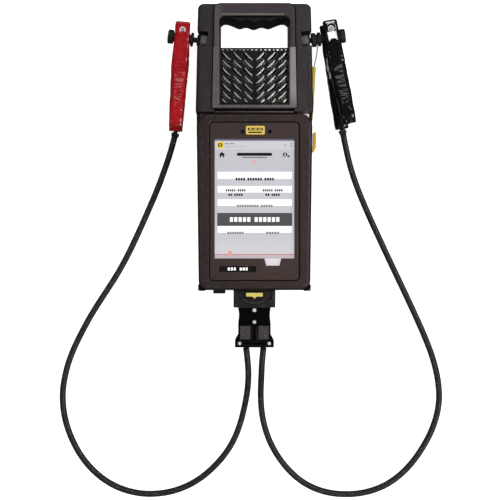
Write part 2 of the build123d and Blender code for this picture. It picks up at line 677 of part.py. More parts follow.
def swept_route(route, radius, name):
    """A tube of straight runs joined by the largest tangent arcs, with its facts printed."""
    points = [Vector(*point) for point in route]
    radii = []
    for before, here, after in zip(points, points[1:], points[2:]):
        turn = (here - before).get_angle(after - here)
        shorter = min((here - before).length, (after - here).length)
        radii.append(0.45 * shorter / tan(radians(turn) / 2))
    with BuildLine(mode=Mode.PRIVATE) as path:
        FilletPolyline(*points, radius=radii)
    with BuildSketch(Plane(origin=points[0], z_dir=points[1] - points[0]), mode=Mode.PRIVATE) as section:
        Circle(radius)
    with BuildPart() as tube:
        sweep(section.sketch, path=path.wires()[0])
    length = path.wires()[0].length
    print(name, "length", round(length, 1), "tightest radius", round(min(radii), 1),
          "largest radius", round(max(radii)), "volume over section x length",
          round(tube.part.volume / (pi * radius**2 * length), 4))
    return tube


stylus_tether = swept_route(TETHER_ROUTE, TETHER_R, "stylus_tether")
write(stylus_tether, "stylus_tether")


# ---------------------------------------------------------------- clamp pegs
def turned(plane, profile):
    """Discs stacked along a plane's normal, from (start, end, radius) stretches."""
    for start, end, radius in profile:
        with Locations(plane.offset(start)):
            Cylinder(radius, end - start, align=(Align.CENTER, Align.CENTER, Align.MIN))


# Stretches along each peg's axis: boss, collar, neck, disc, grip and end cap.
LEFT_PEG = [(0.6, 8.6, BOSS_R), (8.6, 14.2, 6.6), (14.2, 19.0, 3.2), (19.0, 22.0, PEG_DISC_R),
            (22.0, 43.2, PEG_GRIP_R), (43.2, 49.6, PEG_DISC_R)]
RIGHT_PEG = [(0.6, 8.6, BOSS_R), (8.6, 11.0, 6.6), (11.0, 14.2, 3.2), (14.2, 19.2, PEG_DISC_R),
             (19.2, 21.4, 5.0), (21.4, 25.2, PEG_DISC_R), (25.2, 48.6, PEG_GRIP_R), (48.6, 55.0, PEG_DISC_R)]
for side, profile, label in ((-1, LEFT_PEG, "left_peg"), (1, RIGHT_PEG, "right_peg")):
    with BuildPart() as peg:
        turned(peg_plane(side), profile)
        with BuildSketch(peg_plane(side).offset(profile[0][0])) as boss_block:
            with Locations((BLOCK_REACH / 2, side * BLOCK_DROP)):
                Rectangle(BLOCK_REACH, 2 * BLOCK_HALF)
            fillet(boss_block.vertices().group_by(Axis.X)[-1], 3.0)
        extrude(amount=profile[0][1] - profile[0][0])
        chamfer(peg.edges().filter_by(GeomType.CIRCLE).filter_by(lambda edge: edge.radius == PEG_DISC_R), 0.6)
    write(peg, label)

# The tether's loop lies in the groove of the right-hand peg.
with BuildPart() as tether_loop:
    with Locations(peg_plane(1).offset(20.3)):
        Torus(5.7, TETHER_R)
write(tether_loop, "tether_loop")

# ---------------------------------------------------------------- dock and latch
with BuildPart() as dock_shell:
    box_at((-DOCK_HALF, DOCK_HALF), (DOCK_END, BOTTOM_Y), (DOCK_LOW, DOCK_HIGH))
    fillet(dock_shell.edges().filter_by(Axis.Y), 3.0)
    box_at((-CAVITY_HALF, CAVITY_HALF), (DOCK_END - 1, BOTTOM_Y - 2.4), (NOSE_LOW - GAP, NOSE_HIGH + 1.0),
           mode=Mode.SUBTRACT)
    # Thumb scoop, a dished arc across the front face.
    with Locations(Location((0, BOTTOM_Y - 1.0, DOCK_HIGH + 20.0), (0, 90, 0))):
        Cylinder(22.6, 2 * DOCK_HALF - 8.0, mode=Mode.SUBTRACT)
    # Pocket for the latch button, spring seats, and the keyway for its tooth.
    latch_pocket_x = (-LATCH_HALF - 0.5, LATCH_HALF + 0.5)
    box_at(latch_pocket_x, (LATCH_Y - 2.7, LATCH_Y + 2.7), (50.5, DOCK_HIGH + 1), mode=Mode.SUBTRACT)
    with BuildSketch(Plane.XY.offset(52.8)):
        with BuildLine():
            Polyline((-3.6, LATCH_Y - 1.7), (3.6, LATCH_Y - 1.7), (0.0, LATCH_Y - 5.7), close=True)
        make_face()
    extrude(amount=10.0, mode=Mode.SUBTRACT)
    box_at((-3.1, 3.1), (LATCH_Y - 2.0, LATCH_Y + 2.0), (40.0, 60.0), mode=Mode.SUBTRACT)
    box_at((-13.0, 13.0), (BOTTOM_Y - 3, BOTTOM_Y + 1), (28.5, 39.0), mode=Mode.SUBTRACT)
write(dock_shell, "dock_shell")

with BuildPart() as dock_contacts:
    for side in (-1, 1):
        box_at(sorted((side * 4.5, side * 12.5)), (-184.0, -152.1), (31.4, 33.4))
write(dock_contacts, "dock_contacts")

with BuildPart() as latch_springs:
    with Locations(*[(side * 7.0, LATCH_Y, 51.5) for side in (-1, 1)]):
        Cylinder(2.2, 2.0)
        Cylinder(1.5, 2.0, mode=Mode.SUBTRACT)
write(latch_springs, "latch_springs")

with BuildPart() as latch_button:
    box_at((-LATCH_HALF, LATCH_HALF), (LATCH_Y - 2.3, LATCH_Y + 2.3), (55.3, 58.6))
    with BuildSketch(Plane.XY.offset(56.4)):
        with BuildLine():
            Polyline((-2.6, LATCH_Y - 2.3), (2.6, LATCH_Y - 2.3), (0.0, LATCH_Y - 4.9), close=True)
        make_face()
    extrude(amount=2.2)
    fillet(latch_button.faces().sort_by(Axis.Z)[-1].edges(), 0.5)
    box_at((-2.8, 2.8), (LATCH_Y - 1.7, LATCH_Y + 1.7), (NOSE_HIGH + LATCH_TRAVEL + 0.6, 55.4))
write(latch_button, "latch_button")

# ---------------------------------------------------------------- lead plug
PLUG_SIDE = [(PLUG_HALF, PLUG_TOP), (PLUG_WAIST, -197.5), (PLUG_WAIST, -202.0), (PLUG_HALF, -209.0),
             (PLUG_HALF, -223.4), (PLUG_FLARE, -230.6), (PLUG_FLARE, PLUG_END)]
with BuildSketch(mode=Mode.PRIVATE) as plug_plan:
    with BuildLine():
        Polyline(*PLUG_SIDE, *[(-x, y) for x, y in reversed(PLUG_SIDE)], close=True)
    make_face()
PLUG_SCREWS = [(0.0, -193.4, 2.2), (0.0, -207.6, 2.0), (-17.6, -233.2, 2.0), (17.6, -233.2, 2.0)]
SCREW_SEAT = 49.6
BAR_Y = (-235.4, -231.2)
BAR_HALF = 20.4
BAR_LOW = 48.6
BAR_HIGH = 51.2
PANEL_X = 11.0
PANEL_HALF = 6.1
PANEL_Y = (-228.4, -212.4)
PANEL_LOW = 50.2
GROOVE_X = 3.4
NOSE_END = -206.0
WIRE_ROOM_END = -228.5

for label, low, high in (("plug_shell_rear", PLUG_LOW, LEAD_Z), ("plug_shell_front", LEAD_Z, PLUG_HIGH)):
    face_z = PLUG_LOW if low == PLUG_LOW else PLUG_HIGH
    with BuildPart() as plug_shell:
        extrude(Plane.XY.offset(low) * plug_plan.sketch, amount=high - low)
        rim = plug_shell.edges().filter_by(lambda edge: abs(edge.center().Z - face_z) < 0.1)
        fillet(rim.filter_by(lambda edge: abs(edge.center().X) > 10), 2.2)
        box_at((-NOSE_HALF, NOSE_HALF), (NOSE_END, PLUG_TOP + 1), (NOSE_LOW, NOSE_HIGH), mode=Mode.SUBTRACT)
        box_at((-NOSE_HALF, NOSE_HALF), (WIRE_ROOM_END, NOSE_END), (27.0, 43.0), mode=Mode.SUBTRACT)
        for cable_x in (RED_ROUTE[0][0], BLACK_ROUTE[0][0]):
            with Locations(Location((cable_x, (WIRE_ROOM_END + PLUG_END) / 2, LEAD_Z), (90, 0, 0))):
                Cylinder(CABLE_R + 0.6, 12.0, mode=Mode.SUBTRACT)
        if face_z == PLUG_HIGH:
            box_at((-BAR_HALF - 0.1, BAR_HALF + 0.1), BAR_Y, (BAR_LOW, 60.0), mode=Mode.SUBTRACT)
            for x, y, radius in PLUG_SCREWS[:2]:
                with Locations((x, y, SCREW_SEAT + 0.7)):
                    Cylinder(radius + 0.5, 1.4, mode=Mode.SUBTRACT)
            for x in (-GROOVE_X, GROOVE_X):
                groove_y = (PANEL_Y[0] - 0.4, PANEL_Y[1] + 0.1)
                box_at((x - 0.8, x + 0.8), groove_y, (49.8, 52.0), mode=Mode.SUBTRACT)
            for x in (-PANEL_X, PANEL_X):
                pocket_x = (x - PANEL_HALF - 0.1, x + PANEL_HALF + 0.1)
                pocket_y = (PANEL_Y[0] - 0.1, PANEL_Y[1] + 0.1)
                box_at(pocket_x, pocket_y, (PANEL_LOW, 52.0), mode=Mode.SUBTRACT)
    write(plug_shell, label)

with BuildPart() as plug_panels:
    for x in (-PANEL_X, PANEL_X):
        box_at((x - PANEL_HALF, x + PANEL_HALF), PANEL_Y, (PANEL_LOW, PANEL_LOW + 1.2))
    fillet(plug_panels.faces().group_by(Axis.Z)[-1].edges(), 0.5)
write(plug_panels, "plug_panels")

with BuildPart() as strain_bar:
    box_at((-BAR_HALF, BAR_HALF), (BAR_Y[0] + 0.1, BAR_Y[1] - 0.1), (BAR_LOW, BAR_HIGH))
write(strain_bar, "strain_bar")

with BuildPart() as plug_screws:
    for x, y, radius in PLUG_SCREWS:
        foot = SCREW_SEAT if x == 0.0 else BAR_HIGH
        with Locations((x, y, foot)):
            Cylinder(radius, 1.6, align=(Align.CENTER, Align.CENTER, Align.MIN))
            Cylinder(radius / 2, 0.7, align=(Align.CENTER, Align.CENTER, Align.MIN), mode=Mode.SUBTRACT)
    fillet(plug_screws.faces().group_by(Axis.Z)[-1].edges(), 0.4)
write(plug_screws, "plug_screws")

# Insulating nose with a slot for each dock blade and an open keyway for the latch tooth.
with BuildPart() as plug_nose:
    box_at((-NOSE_HALF, NOSE_HALF), (NOSE_END + 0.2, BOTTOM_Y - 3.0), (NOSE_LOW, NOSE_HIGH))
    box_at((-3.4, 3.4), (NOSE_END + 0.1, BOTTOM_Y), (41.5, NOSE_HIGH + 1), mode=Mode.SUBTRACT)
    for side in (-1, 1):
        box_at(sorted((side * 4.1, side * 12.9)), (NOSE_END, BOTTOM_Y), (30.8, 36.4), mode=Mode.SUBTRACT)
write(plug_nose, "plug_nose")

with BuildPart() as plug_contacts:
    for side in (-1, 1):
        box_at(sorted((side * 4.5, side * 12.5)), (-224.0, -174.0), (34.0, 36.4))
write(plug_contacts, "plug_contacts")

with BuildPart() as plug_glands:
    for cable_x in (RED_ROUTE[0][0], BLACK_ROUTE[0][0]):
        with Locations(Location((cable_x, PLUG_END - GLAND_LENGTH, LEAD_Z), (-90, 0, 0))):
            Cone(4.8, 5.4, GLAND_LENGTH, align=(Align.CENTER, Align.CENTER, Align.MIN))
write(plug_glands, "plug_glands")

with BuildPart() as port_cap:
    box_at((-50.0, -35.4), (BOTTOM_Y - 4.5, BOTTOM_Y - GAP), (20.0, 36.0))
    fillet(port_cap.edges().filter_by(Axis.Y), 2.0)
    box_at((-47.0, -38.0), (BOTTOM_Y - GAP - 0.1, BOTTOM_Y + 5.2), (23.4, 32.6))
write(port_cap, "port_cap")


# ---------------------------------------------------------------- battery clamps
def clamp_planes(tip, end):
    """Frames at a clamp's pivot: one across the jaws for plans, one for side profiles."""
    along = (Vector(*tip, 0) - Vector(*end, 0)).normalized()
    roll = radians(CLAMP_ROLL)
    flat_across = Vector(along.Y, -along.X, 0)
    pin_dir = flat_across * cos(roll) - Vector(0, 0, 1) * sin(roll)
    pivot = Vector(*tip, PEG_Z) - along * CLAMP_TIP
    up_dir = pin_dir.cross(along)
    return (
        Plane(origin=pivot, x_dir=pin_dir, z_dir=up_dir),
        Plane(origin=pivot, x_dir=along, z_dir=pin_dir),
    )


# Side profiles of one arm (u, v), all of them above the middle plane.
SLEEVE_TOP = [
    (54.0, 13.2), (50.0, 14.2), (22.0, 14.8), (0.0, 16.0), (-14.0, 18.8), (-40.0, 25.6),
    (-64.0, 30.0), (-71.0, 29.6), (-73.0, 27.6),
]
SLEEVE_UNDER = [(-73.0, 20.2), (-70.0, 18.4), (-40.0, 14.2), (-18.0, 9.4)]
ARM_TOP = [
    (52.4, 12.6), (22.0, 13.2), (0.0, 14.4), (-14.0, 17.2), (-40.0, 24.0), (-65.0, 28.4), (-71.4, 27.4),
]
ARM_UNDER = [(-71.4, 21.6), (-69.0, 20.0), (-40.0, 15.8), (-18.0, 11.0)]
# Half widths of the plan outline (u, half width).
HALF_WIDTHS = [
    (54.0, 7.5), (30.0, 7.8), (10.0, PIVOT_HALF), (-4.0, PIVOT_HALF),
    (-20.0, 8.2), (-45.0, 7.8), (-73.0, 6.8),
]


def side_profile(plane, points, sign):
    """A closed side profile, mirrored under the middle plane for a rear arm."""
    with BuildSketch(plane, mode=Mode.PRIVATE) as profile:
        with BuildLine():
            Polyline(*[(u, sign * v) for u, v in points], close=True)
        make_face()
    return profile.sketch


def width_plan(plane, inset, reach):
    """The arm's plan outline, inset along both sides and stretched past both ends."""
    right = [(half - inset, u) for u, half in HALF_WIDTHS]
    right[0] = (right[0][0], right[0][1] + reach)
    right[-1] = (right[-1][0], right[-1][1] - reach)
    with BuildSketch(plane, mode=Mode.PRIVATE) as plan:
        with BuildLine():
            Polyline(*right, *[(-x, u) for x, u in reversed(right)], close=True)
        make_face()
    return plan.sketch


def channel(planes, points, sign, inset, reach=0.0):
    """A solid with one arm's side profile, as wide as its plan outline."""
    plan_plane, side_plane = planes
    profile = side_profile(side_plane, points, sign)
    plan = width_plan(plan_plane, inset, reach)
    across = extrude(profile, amount=14.0, both=True, mode=Mode.PRIVATE)
    upright = extrude(plan, amount=40.0, both=True, mode=Mode.PRIVATE)
    return across & upright


def arm_blank(planes, sign, waist_v):
    """The full outer form of a steel arm, with its lower edge at waist_v by the pivot."""
    under = [*ARM_UNDER, (-9.0, waist_v), (9.0, waist_v), (18.0, 8.6), (52.4, 8.8)]
    return channel(planes, [*ARM_TOP, *under], sign, SKIN)


def pin_barrel(planes, radius, half_length):
    """A cylinder about the pivot axis."""
    with BuildSketch(planes[1], mode=Mode.PRIVATE) as section:
        Circle(radius)
    return extrude(section.sketch, amount=half_length, both=True, mode=Mode.PRIVATE)


def steel_arm(planes, sign, waist_v, ear_inner, ear_outer):
    """A pressed channel arm with two ears that hang on the pivot pin."""
    hollow = [(u, v - PLATE) for u, v in ARM_TOP]
    hollow = [(hollow[0][0] - PLATE, hollow[0][1]), *hollow[1:-1], (-80.0, hollow[-1][1])]
    hollow += [(-80.0, -2.0), (50.8, -2.0)]
    with BuildPart() as arm:
        add(arm_blank(planes, sign, waist_v))
        add(channel(planes, hollow, sign, SKIN + PLATE, 8.0), mode=Mode.SUBTRACT)
        ear_root = [(-EAR_R, 0.0), (EAR_R, 0.0), (EAR_R, waist_v + 3.0), (-EAR_R, waist_v + 3.0)]
        ears = channel(planes, ear_root, sign, PIVOT_HALF - 0.01 - ear_outer)
        ears = pin_barrel(planes, EAR_R, ear_outer) + ears
        add(ears - pin_barrel(planes, 40.0, ear_inner))
        add(pin_barrel(planes, PIN_R + 0.08, 20.0), mode=Mode.SUBTRACT)
    return arm


def sleeve(planes, sign, waist_v, start):
    """A moulded sleeve over one arm, closed round the handle and open inside the jaw."""
    top = SLEEVE_TOP
    if start < CLAMP_TIP:
        top = [(start, 14.6), *[point for point in SLEEVE_TOP if point[0] < start]]
    under = [*SLEEVE_UNDER, (-9.0, waist_v), (9.0, waist_v), (18.0, 9.6), (start, 9.6)]
    with BuildPart() as skin:
        add(channel(planes, [*top, *under], sign, 0.0))
        blank_under = [*ARM_UNDER, (-12.0, 2.0), (52.4, 2.0)]
        add(channel(planes, [*ARM_TOP, *blank_under], sign, SKIN), mode=Mode.SUBTRACT)
        add(pin_barrel(planes, PIN_R + 0.4, 20.0), mode=Mode.SUBTRACT)
        if sign < 0:
            mouth = [(-70.0, 21.7), (-70.0, 25.7), (-76.0, 25.7), (-76.0, 21.7)]
            add(channel(planes, mouth, sign, 3.9, 8.0), mode=Mode.SUBTRACT)
    return skin


def jaw(planes, sign):
    """A toothed copper jaw bit inside the arm's channel."""
    teeth = []
    for step in range(6):
        teeth += [(30.0 + 3.6 * step, JAW_GAP + 1.0), (31.8 + 3.6 * step, JAW_GAP)]
    points = [(29.0, 10.9), *teeth, (50.6, JAW_GAP + 1.0), (50.6, 10.9)]
    with BuildPart() as bit:
        add(channel(planes, points, sign, 3.6))
    return bit


def ferrule(planes, route):
    """A crimp barrel at a lead's end, with a flat tongue that lies inside the rear arm."""
    end = Vector(*route[-1])
    inward = (end - Vector(*route[-2])).normalized()
    tongue = [(-60.0, 22.0), (-60.0, 25.4), (-78.5, 25.4), (-78.5, 22.0)]
    with BuildPart() as crimp:
        with BuildSketch(Plane(origin=end + inward * GAP, z_dir=inward)):
            Circle(CABLE_R + 1.0)
        extrude(amount=4.2)
        add(channel(planes, tongue, -1, 4.4, 8.0))
    return crimp.part


CLAMPS = {
    "red": ((-86.2, 151.7), (-95.2, 24.6), CLAMP_TIP),
    "black": ((88.9, 153.5), (110.2, 28.7), 26.6),
}
LEAD_ROUTES = {"red": RED_ROUTE, "black": BLACK_ROUTE}
rear_jaws = []
ferrules = []
pins = []
springs = []
for colour, (tip, end, sleeve_start) in CLAMPS.items():
    planes = clamp_planes(tip, end)
    print(colour, "pivot", planes[0].origin, "pin axis", planes[0].x_dir)
    write(steel_arm(planes, 1, 3.0, *FRONT_EAR), f"{colour}_front_arm")
    write(steel_arm(planes, -1, 7.6, *REAR_EAR), f"{colour}_rear_arm")
    write(sleeve(planes, 1, 5.0, sleeve_start), f"{colour}_front_sleeve")
    write(sleeve(planes, -1, 8.0, CLAMP_TIP), f"{colour}_rear_sleeve")
    write(jaw(planes, 1), f"{colour}_front_jaw")
    rear_jaws.append(jaw(planes, -1).part)
    ferrules.append(ferrule(planes, LEAD_ROUTES[colour]))
    pin_heads = pin_barrel(planes, PIN_HEAD_R, PIN_HALF + 1.2) - pin_barrel(planes, 9.0, PIN_HALF)
    pins.append(pin_barrel(planes, PIN_R, PIN_HALF) + pin_heads)
    springs.append(pin_barrel(planes, SPRING_R, SPRING_HALF) - pin_barrel(planes, SPRING_BORE_R, SPRING_HALF))

clamp_groups = {
    "rear_jaws": rear_jaws, "lead_ferrules": ferrules, "clamp_pins": pins, "clamp_springs": springs,
}
for label, pieces in clamp_groups.items():
    with BuildPart() as group:
        add(pieces)
    write(group, label)

# ---------------------------------------------------------------- leads
for colour, route in LEAD_ROUTES.items():
    write(swept_route(route, CABLE_R, f"{colour}_lead"), f"{colour}_lead")
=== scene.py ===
import bpy
import math
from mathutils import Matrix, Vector, noise


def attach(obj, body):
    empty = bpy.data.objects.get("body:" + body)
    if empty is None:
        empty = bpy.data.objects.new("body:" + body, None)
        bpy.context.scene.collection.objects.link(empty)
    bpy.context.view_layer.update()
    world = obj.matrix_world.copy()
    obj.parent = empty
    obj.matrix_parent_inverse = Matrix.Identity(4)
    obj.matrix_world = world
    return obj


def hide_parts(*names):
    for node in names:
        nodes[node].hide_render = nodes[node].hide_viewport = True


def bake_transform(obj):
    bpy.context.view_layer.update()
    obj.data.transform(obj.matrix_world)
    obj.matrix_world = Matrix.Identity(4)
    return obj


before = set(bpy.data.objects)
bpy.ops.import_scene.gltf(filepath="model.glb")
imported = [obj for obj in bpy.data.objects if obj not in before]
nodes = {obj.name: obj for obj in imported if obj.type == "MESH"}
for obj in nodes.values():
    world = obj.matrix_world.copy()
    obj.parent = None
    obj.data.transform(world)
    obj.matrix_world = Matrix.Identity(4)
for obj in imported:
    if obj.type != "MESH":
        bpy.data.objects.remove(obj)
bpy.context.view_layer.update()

MM = 0.001


# -------------------- colours and finishes
def srgb(red, green, blue):
    """A linear RGBA colour from 0-255 display values."""
    def linear(value):
        value /= 255
        return value / 12.92 if value <= 0.04045 else ((value + 0.055) / 1.055) ** 2.4
    return (linear(red), linear(green), linear(blue), 1.0)


def scaled(colour, share):
    """The same colour, lighter or darker."""
    return (*[min(1.0, channel * share) for channel in colour[:3]], 1.0)


def wired(tree, socket, value):
    """Links another node's socket to an input, or sets the input to a plain value."""
    if isinstance(value, bpy.types.NodeSocket):
        tree.links.new(value, socket)
    else:
        socket.default_value = value


def shader_node(tree, kind, inputs=None, **settings):
    """Adds a node. Inputs are numbers, colours or other nodes' sockets."""
    made = tree.nodes.new("ShaderNode" + kind)
    for key, value in settings.items():
        setattr(made, key, value)
    for key, value in (inputs or {}).items():
        wired(tree, made.inputs[key], value)
    return made


def noise_of(tree, place, scale, detail=3.0, stretch=None):
    """A noise texture over the object's own coordinates, stretched along an axis if asked."""
    if stretch:
        place = shader_node(tree, "Mapping", {"Vector": place, "Scale": stretch}).outputs["Vector"]
    return shader_node(tree, "TexNoise", {"Vector": place, "Scale": scale, "Detail": detail}).outputs["Fac"]


def remap(tree, value, low, high, to_low=0.0, to_high=1.0):
    """Maps a value from one range to another and holds it at the ends."""
    return shader_node(tree, "MapRange", {
        "Value": value, "From Min": low, "From Max": high, "To Min": to_low, "To Max": to_high,
    }).outputs["Result"]


MIX_INPUTS, MIX_RESULT = (0, 6, 7), 2  # a Mix node's sockets for colours


def mixed(tree, share, first, second):
    """A colour between two colours."""
    made = shader_node(tree, "Mix", data_type="RGBA")
    for index, value in zip(MIX_INPUTS, (share, first, second)):
        wired(tree, made.inputs[index], value)
    return made.outputs[MIX_RESULT]


def new_material(name):
    """A material, its node tree, its Principled shader and the object's own coordinates."""
    material = bpy.data.materials.new(name)
    material.use_nodes = True
    tree = material.node_tree
    return material, tree, tree.nodes["Principled BSDF"], shader_node(tree, "TexCoord").outputs["Object"]


X, Y = 0, 1
NOISE_LOW, NOISE_HIGH = 0.3, 0.7  # most of a noise texture's values lie between these
GRAIN_LOW, GRAIN_HIGH, GRAIN_SHARE, GRAIN_LIFT = 0.35, 0.65, 0.25, 1.35
DUST_SCALE, DUST_LOW, DUST_HIGH = 900.0, 0.68, 0.76
DUST = srgb(196, 190, 182)
WEAR_GLINT_START, WEAR_GLINT_FULL = 0.99, 0.86  # cosines between the rounded and the flat normal at an edge
WEAR_GLINT_SCALE, WEAR_GLINT_LOW, WEAR_GLINT_HIGH, WEAR_GLINT_LEAST = 130.0, 0.42, 0.62, 0.15
GLOSS_SCALE = 60.0
BUMP_DEPTH = 0.4 * MM
METAL_FROM, PLAIN_SPECULAR = 0.5, 0.3


def finish_of(name, colour, rough, metal=0.0, patch=22.0, shade=0.78, spread=0.07, grain=1500.0, relief=0.12,
              stretch=None, worn=None, wear=0.6, edge=0.5, speck=0.0, along=(), **shader_inputs):
    """A moulded, painted or metal finish: patchy tone and gloss, a fine grain, rounded edges, and lighter
    edges, scuffed from use, which on the grille finishes stand for painted glints.

    Colours are 0-255 display values. along holds (axis, low, high, colour at the low end), in millimetres,
    for painted light and shade that change along the piece: a side darker or lighter by how the light falls.
    """
    material, tree, shader, place = new_material(name)
    colour = srgb(*colour)
    patches = remap(tree, noise_of(tree, place, patch, 5.0), NOISE_LOW, NOISE_HIGH)
    tone = mixed(tree, patches, scaled(colour, shade), colour)
    # Painted light and shade: the tone turns towards another colour along an axis.
    for axis, low, high, low_colour in along:
        travel = shader_node(tree, "SeparateXYZ", {"Vector": place}).outputs[axis]
        share = remap(tree, travel, low * MM, high * MM)
        low_colour = srgb(*low_colour)
        tone = mixed(tree, share, mixed(tree, patches, scaled(low_colour, shade), low_colour), tone)
    fine = noise_of(tree, place, grain, 2.0, stretch)
    grains = remap(tree, fine, GRAIN_LOW, GRAIN_HIGH, 0.0, GRAIN_SHARE)
    tone = mixed(tree, grains, tone, scaled(colour, GRAIN_LIFT))
    if speck:
        dust = noise_of(tree, place, DUST_SCALE, 1.0)
        tone = mixed(tree, remap(tree, dust, DUST_LOW, DUST_HIGH, 0.0, speck), tone, DUST)
    rounded = shader_node(tree, "Bevel", {"Radius": edge * MM}, samples=4).outputs["Normal"]
    # Lighter edges: scuffed by use, and on the grille finishes painted glints.
    if worn:
        facing = shader_node(tree, "NewGeometry").outputs["Normal"]
        turn = shader_node(tree, "VectorMath", {0: rounded, 1: facing}, operation="DOT_PRODUCT")
        rubbed_and_glint = remap(tree, turn.outputs["Value"], WEAR_GLINT_START, WEAR_GLINT_FULL)
        scuffs_and_glints = remap(tree, noise_of(tree, place, WEAR_GLINT_SCALE, 6.0), WEAR_GLINT_LOW, WEAR_GLINT_HIGH, WEAR_GLINT_LEAST, wear)
        rubbed_and_glint = shader_node(tree, "Math", {0: rubbed_and_glint, 1: scuffs_and_glints}, operation="MULTIPLY").outputs[0]
        tone = mixed(tree, rubbed_and_glint, tone, srgb(*worn))
    gloss = noise_of(tree, place, GLOSS_SCALE, 6.0, stretch)
    wired(tree, shader.inputs["Base Color"], tone)
    gloss = remap(tree, gloss, NOISE_LOW, NOISE_HIGH, rough - spread, rough + spread)
    wired(tree, shader.inputs["Roughness"], gloss)
    bump = shader_node(tree, "Bump", {
        "Strength": relief, "Distance": BUMP_DEPTH, "Height": fine, "Normal": rounded,
    })
    wired(tree, shader.inputs["Normal"], bump.outputs["Normal"])
    shader.inputs["Metallic"].default_value = metal
    if metal < METAL_FROM:
        shader.inputs["Specular IOR Level"].default_value = PLAIN_SPECULAR
    for key, value in shader_inputs.items():
        shader.inputs[key.replace("_", " ")].default_value = value
    return material


def coat(mesh_object, material):
    """Gives an object one material in every slot."""
    materials = mesh_object.data.materials
    if not materials:
        materials.append(material)
    for index in range(len(materials)):
        materials[index] = material


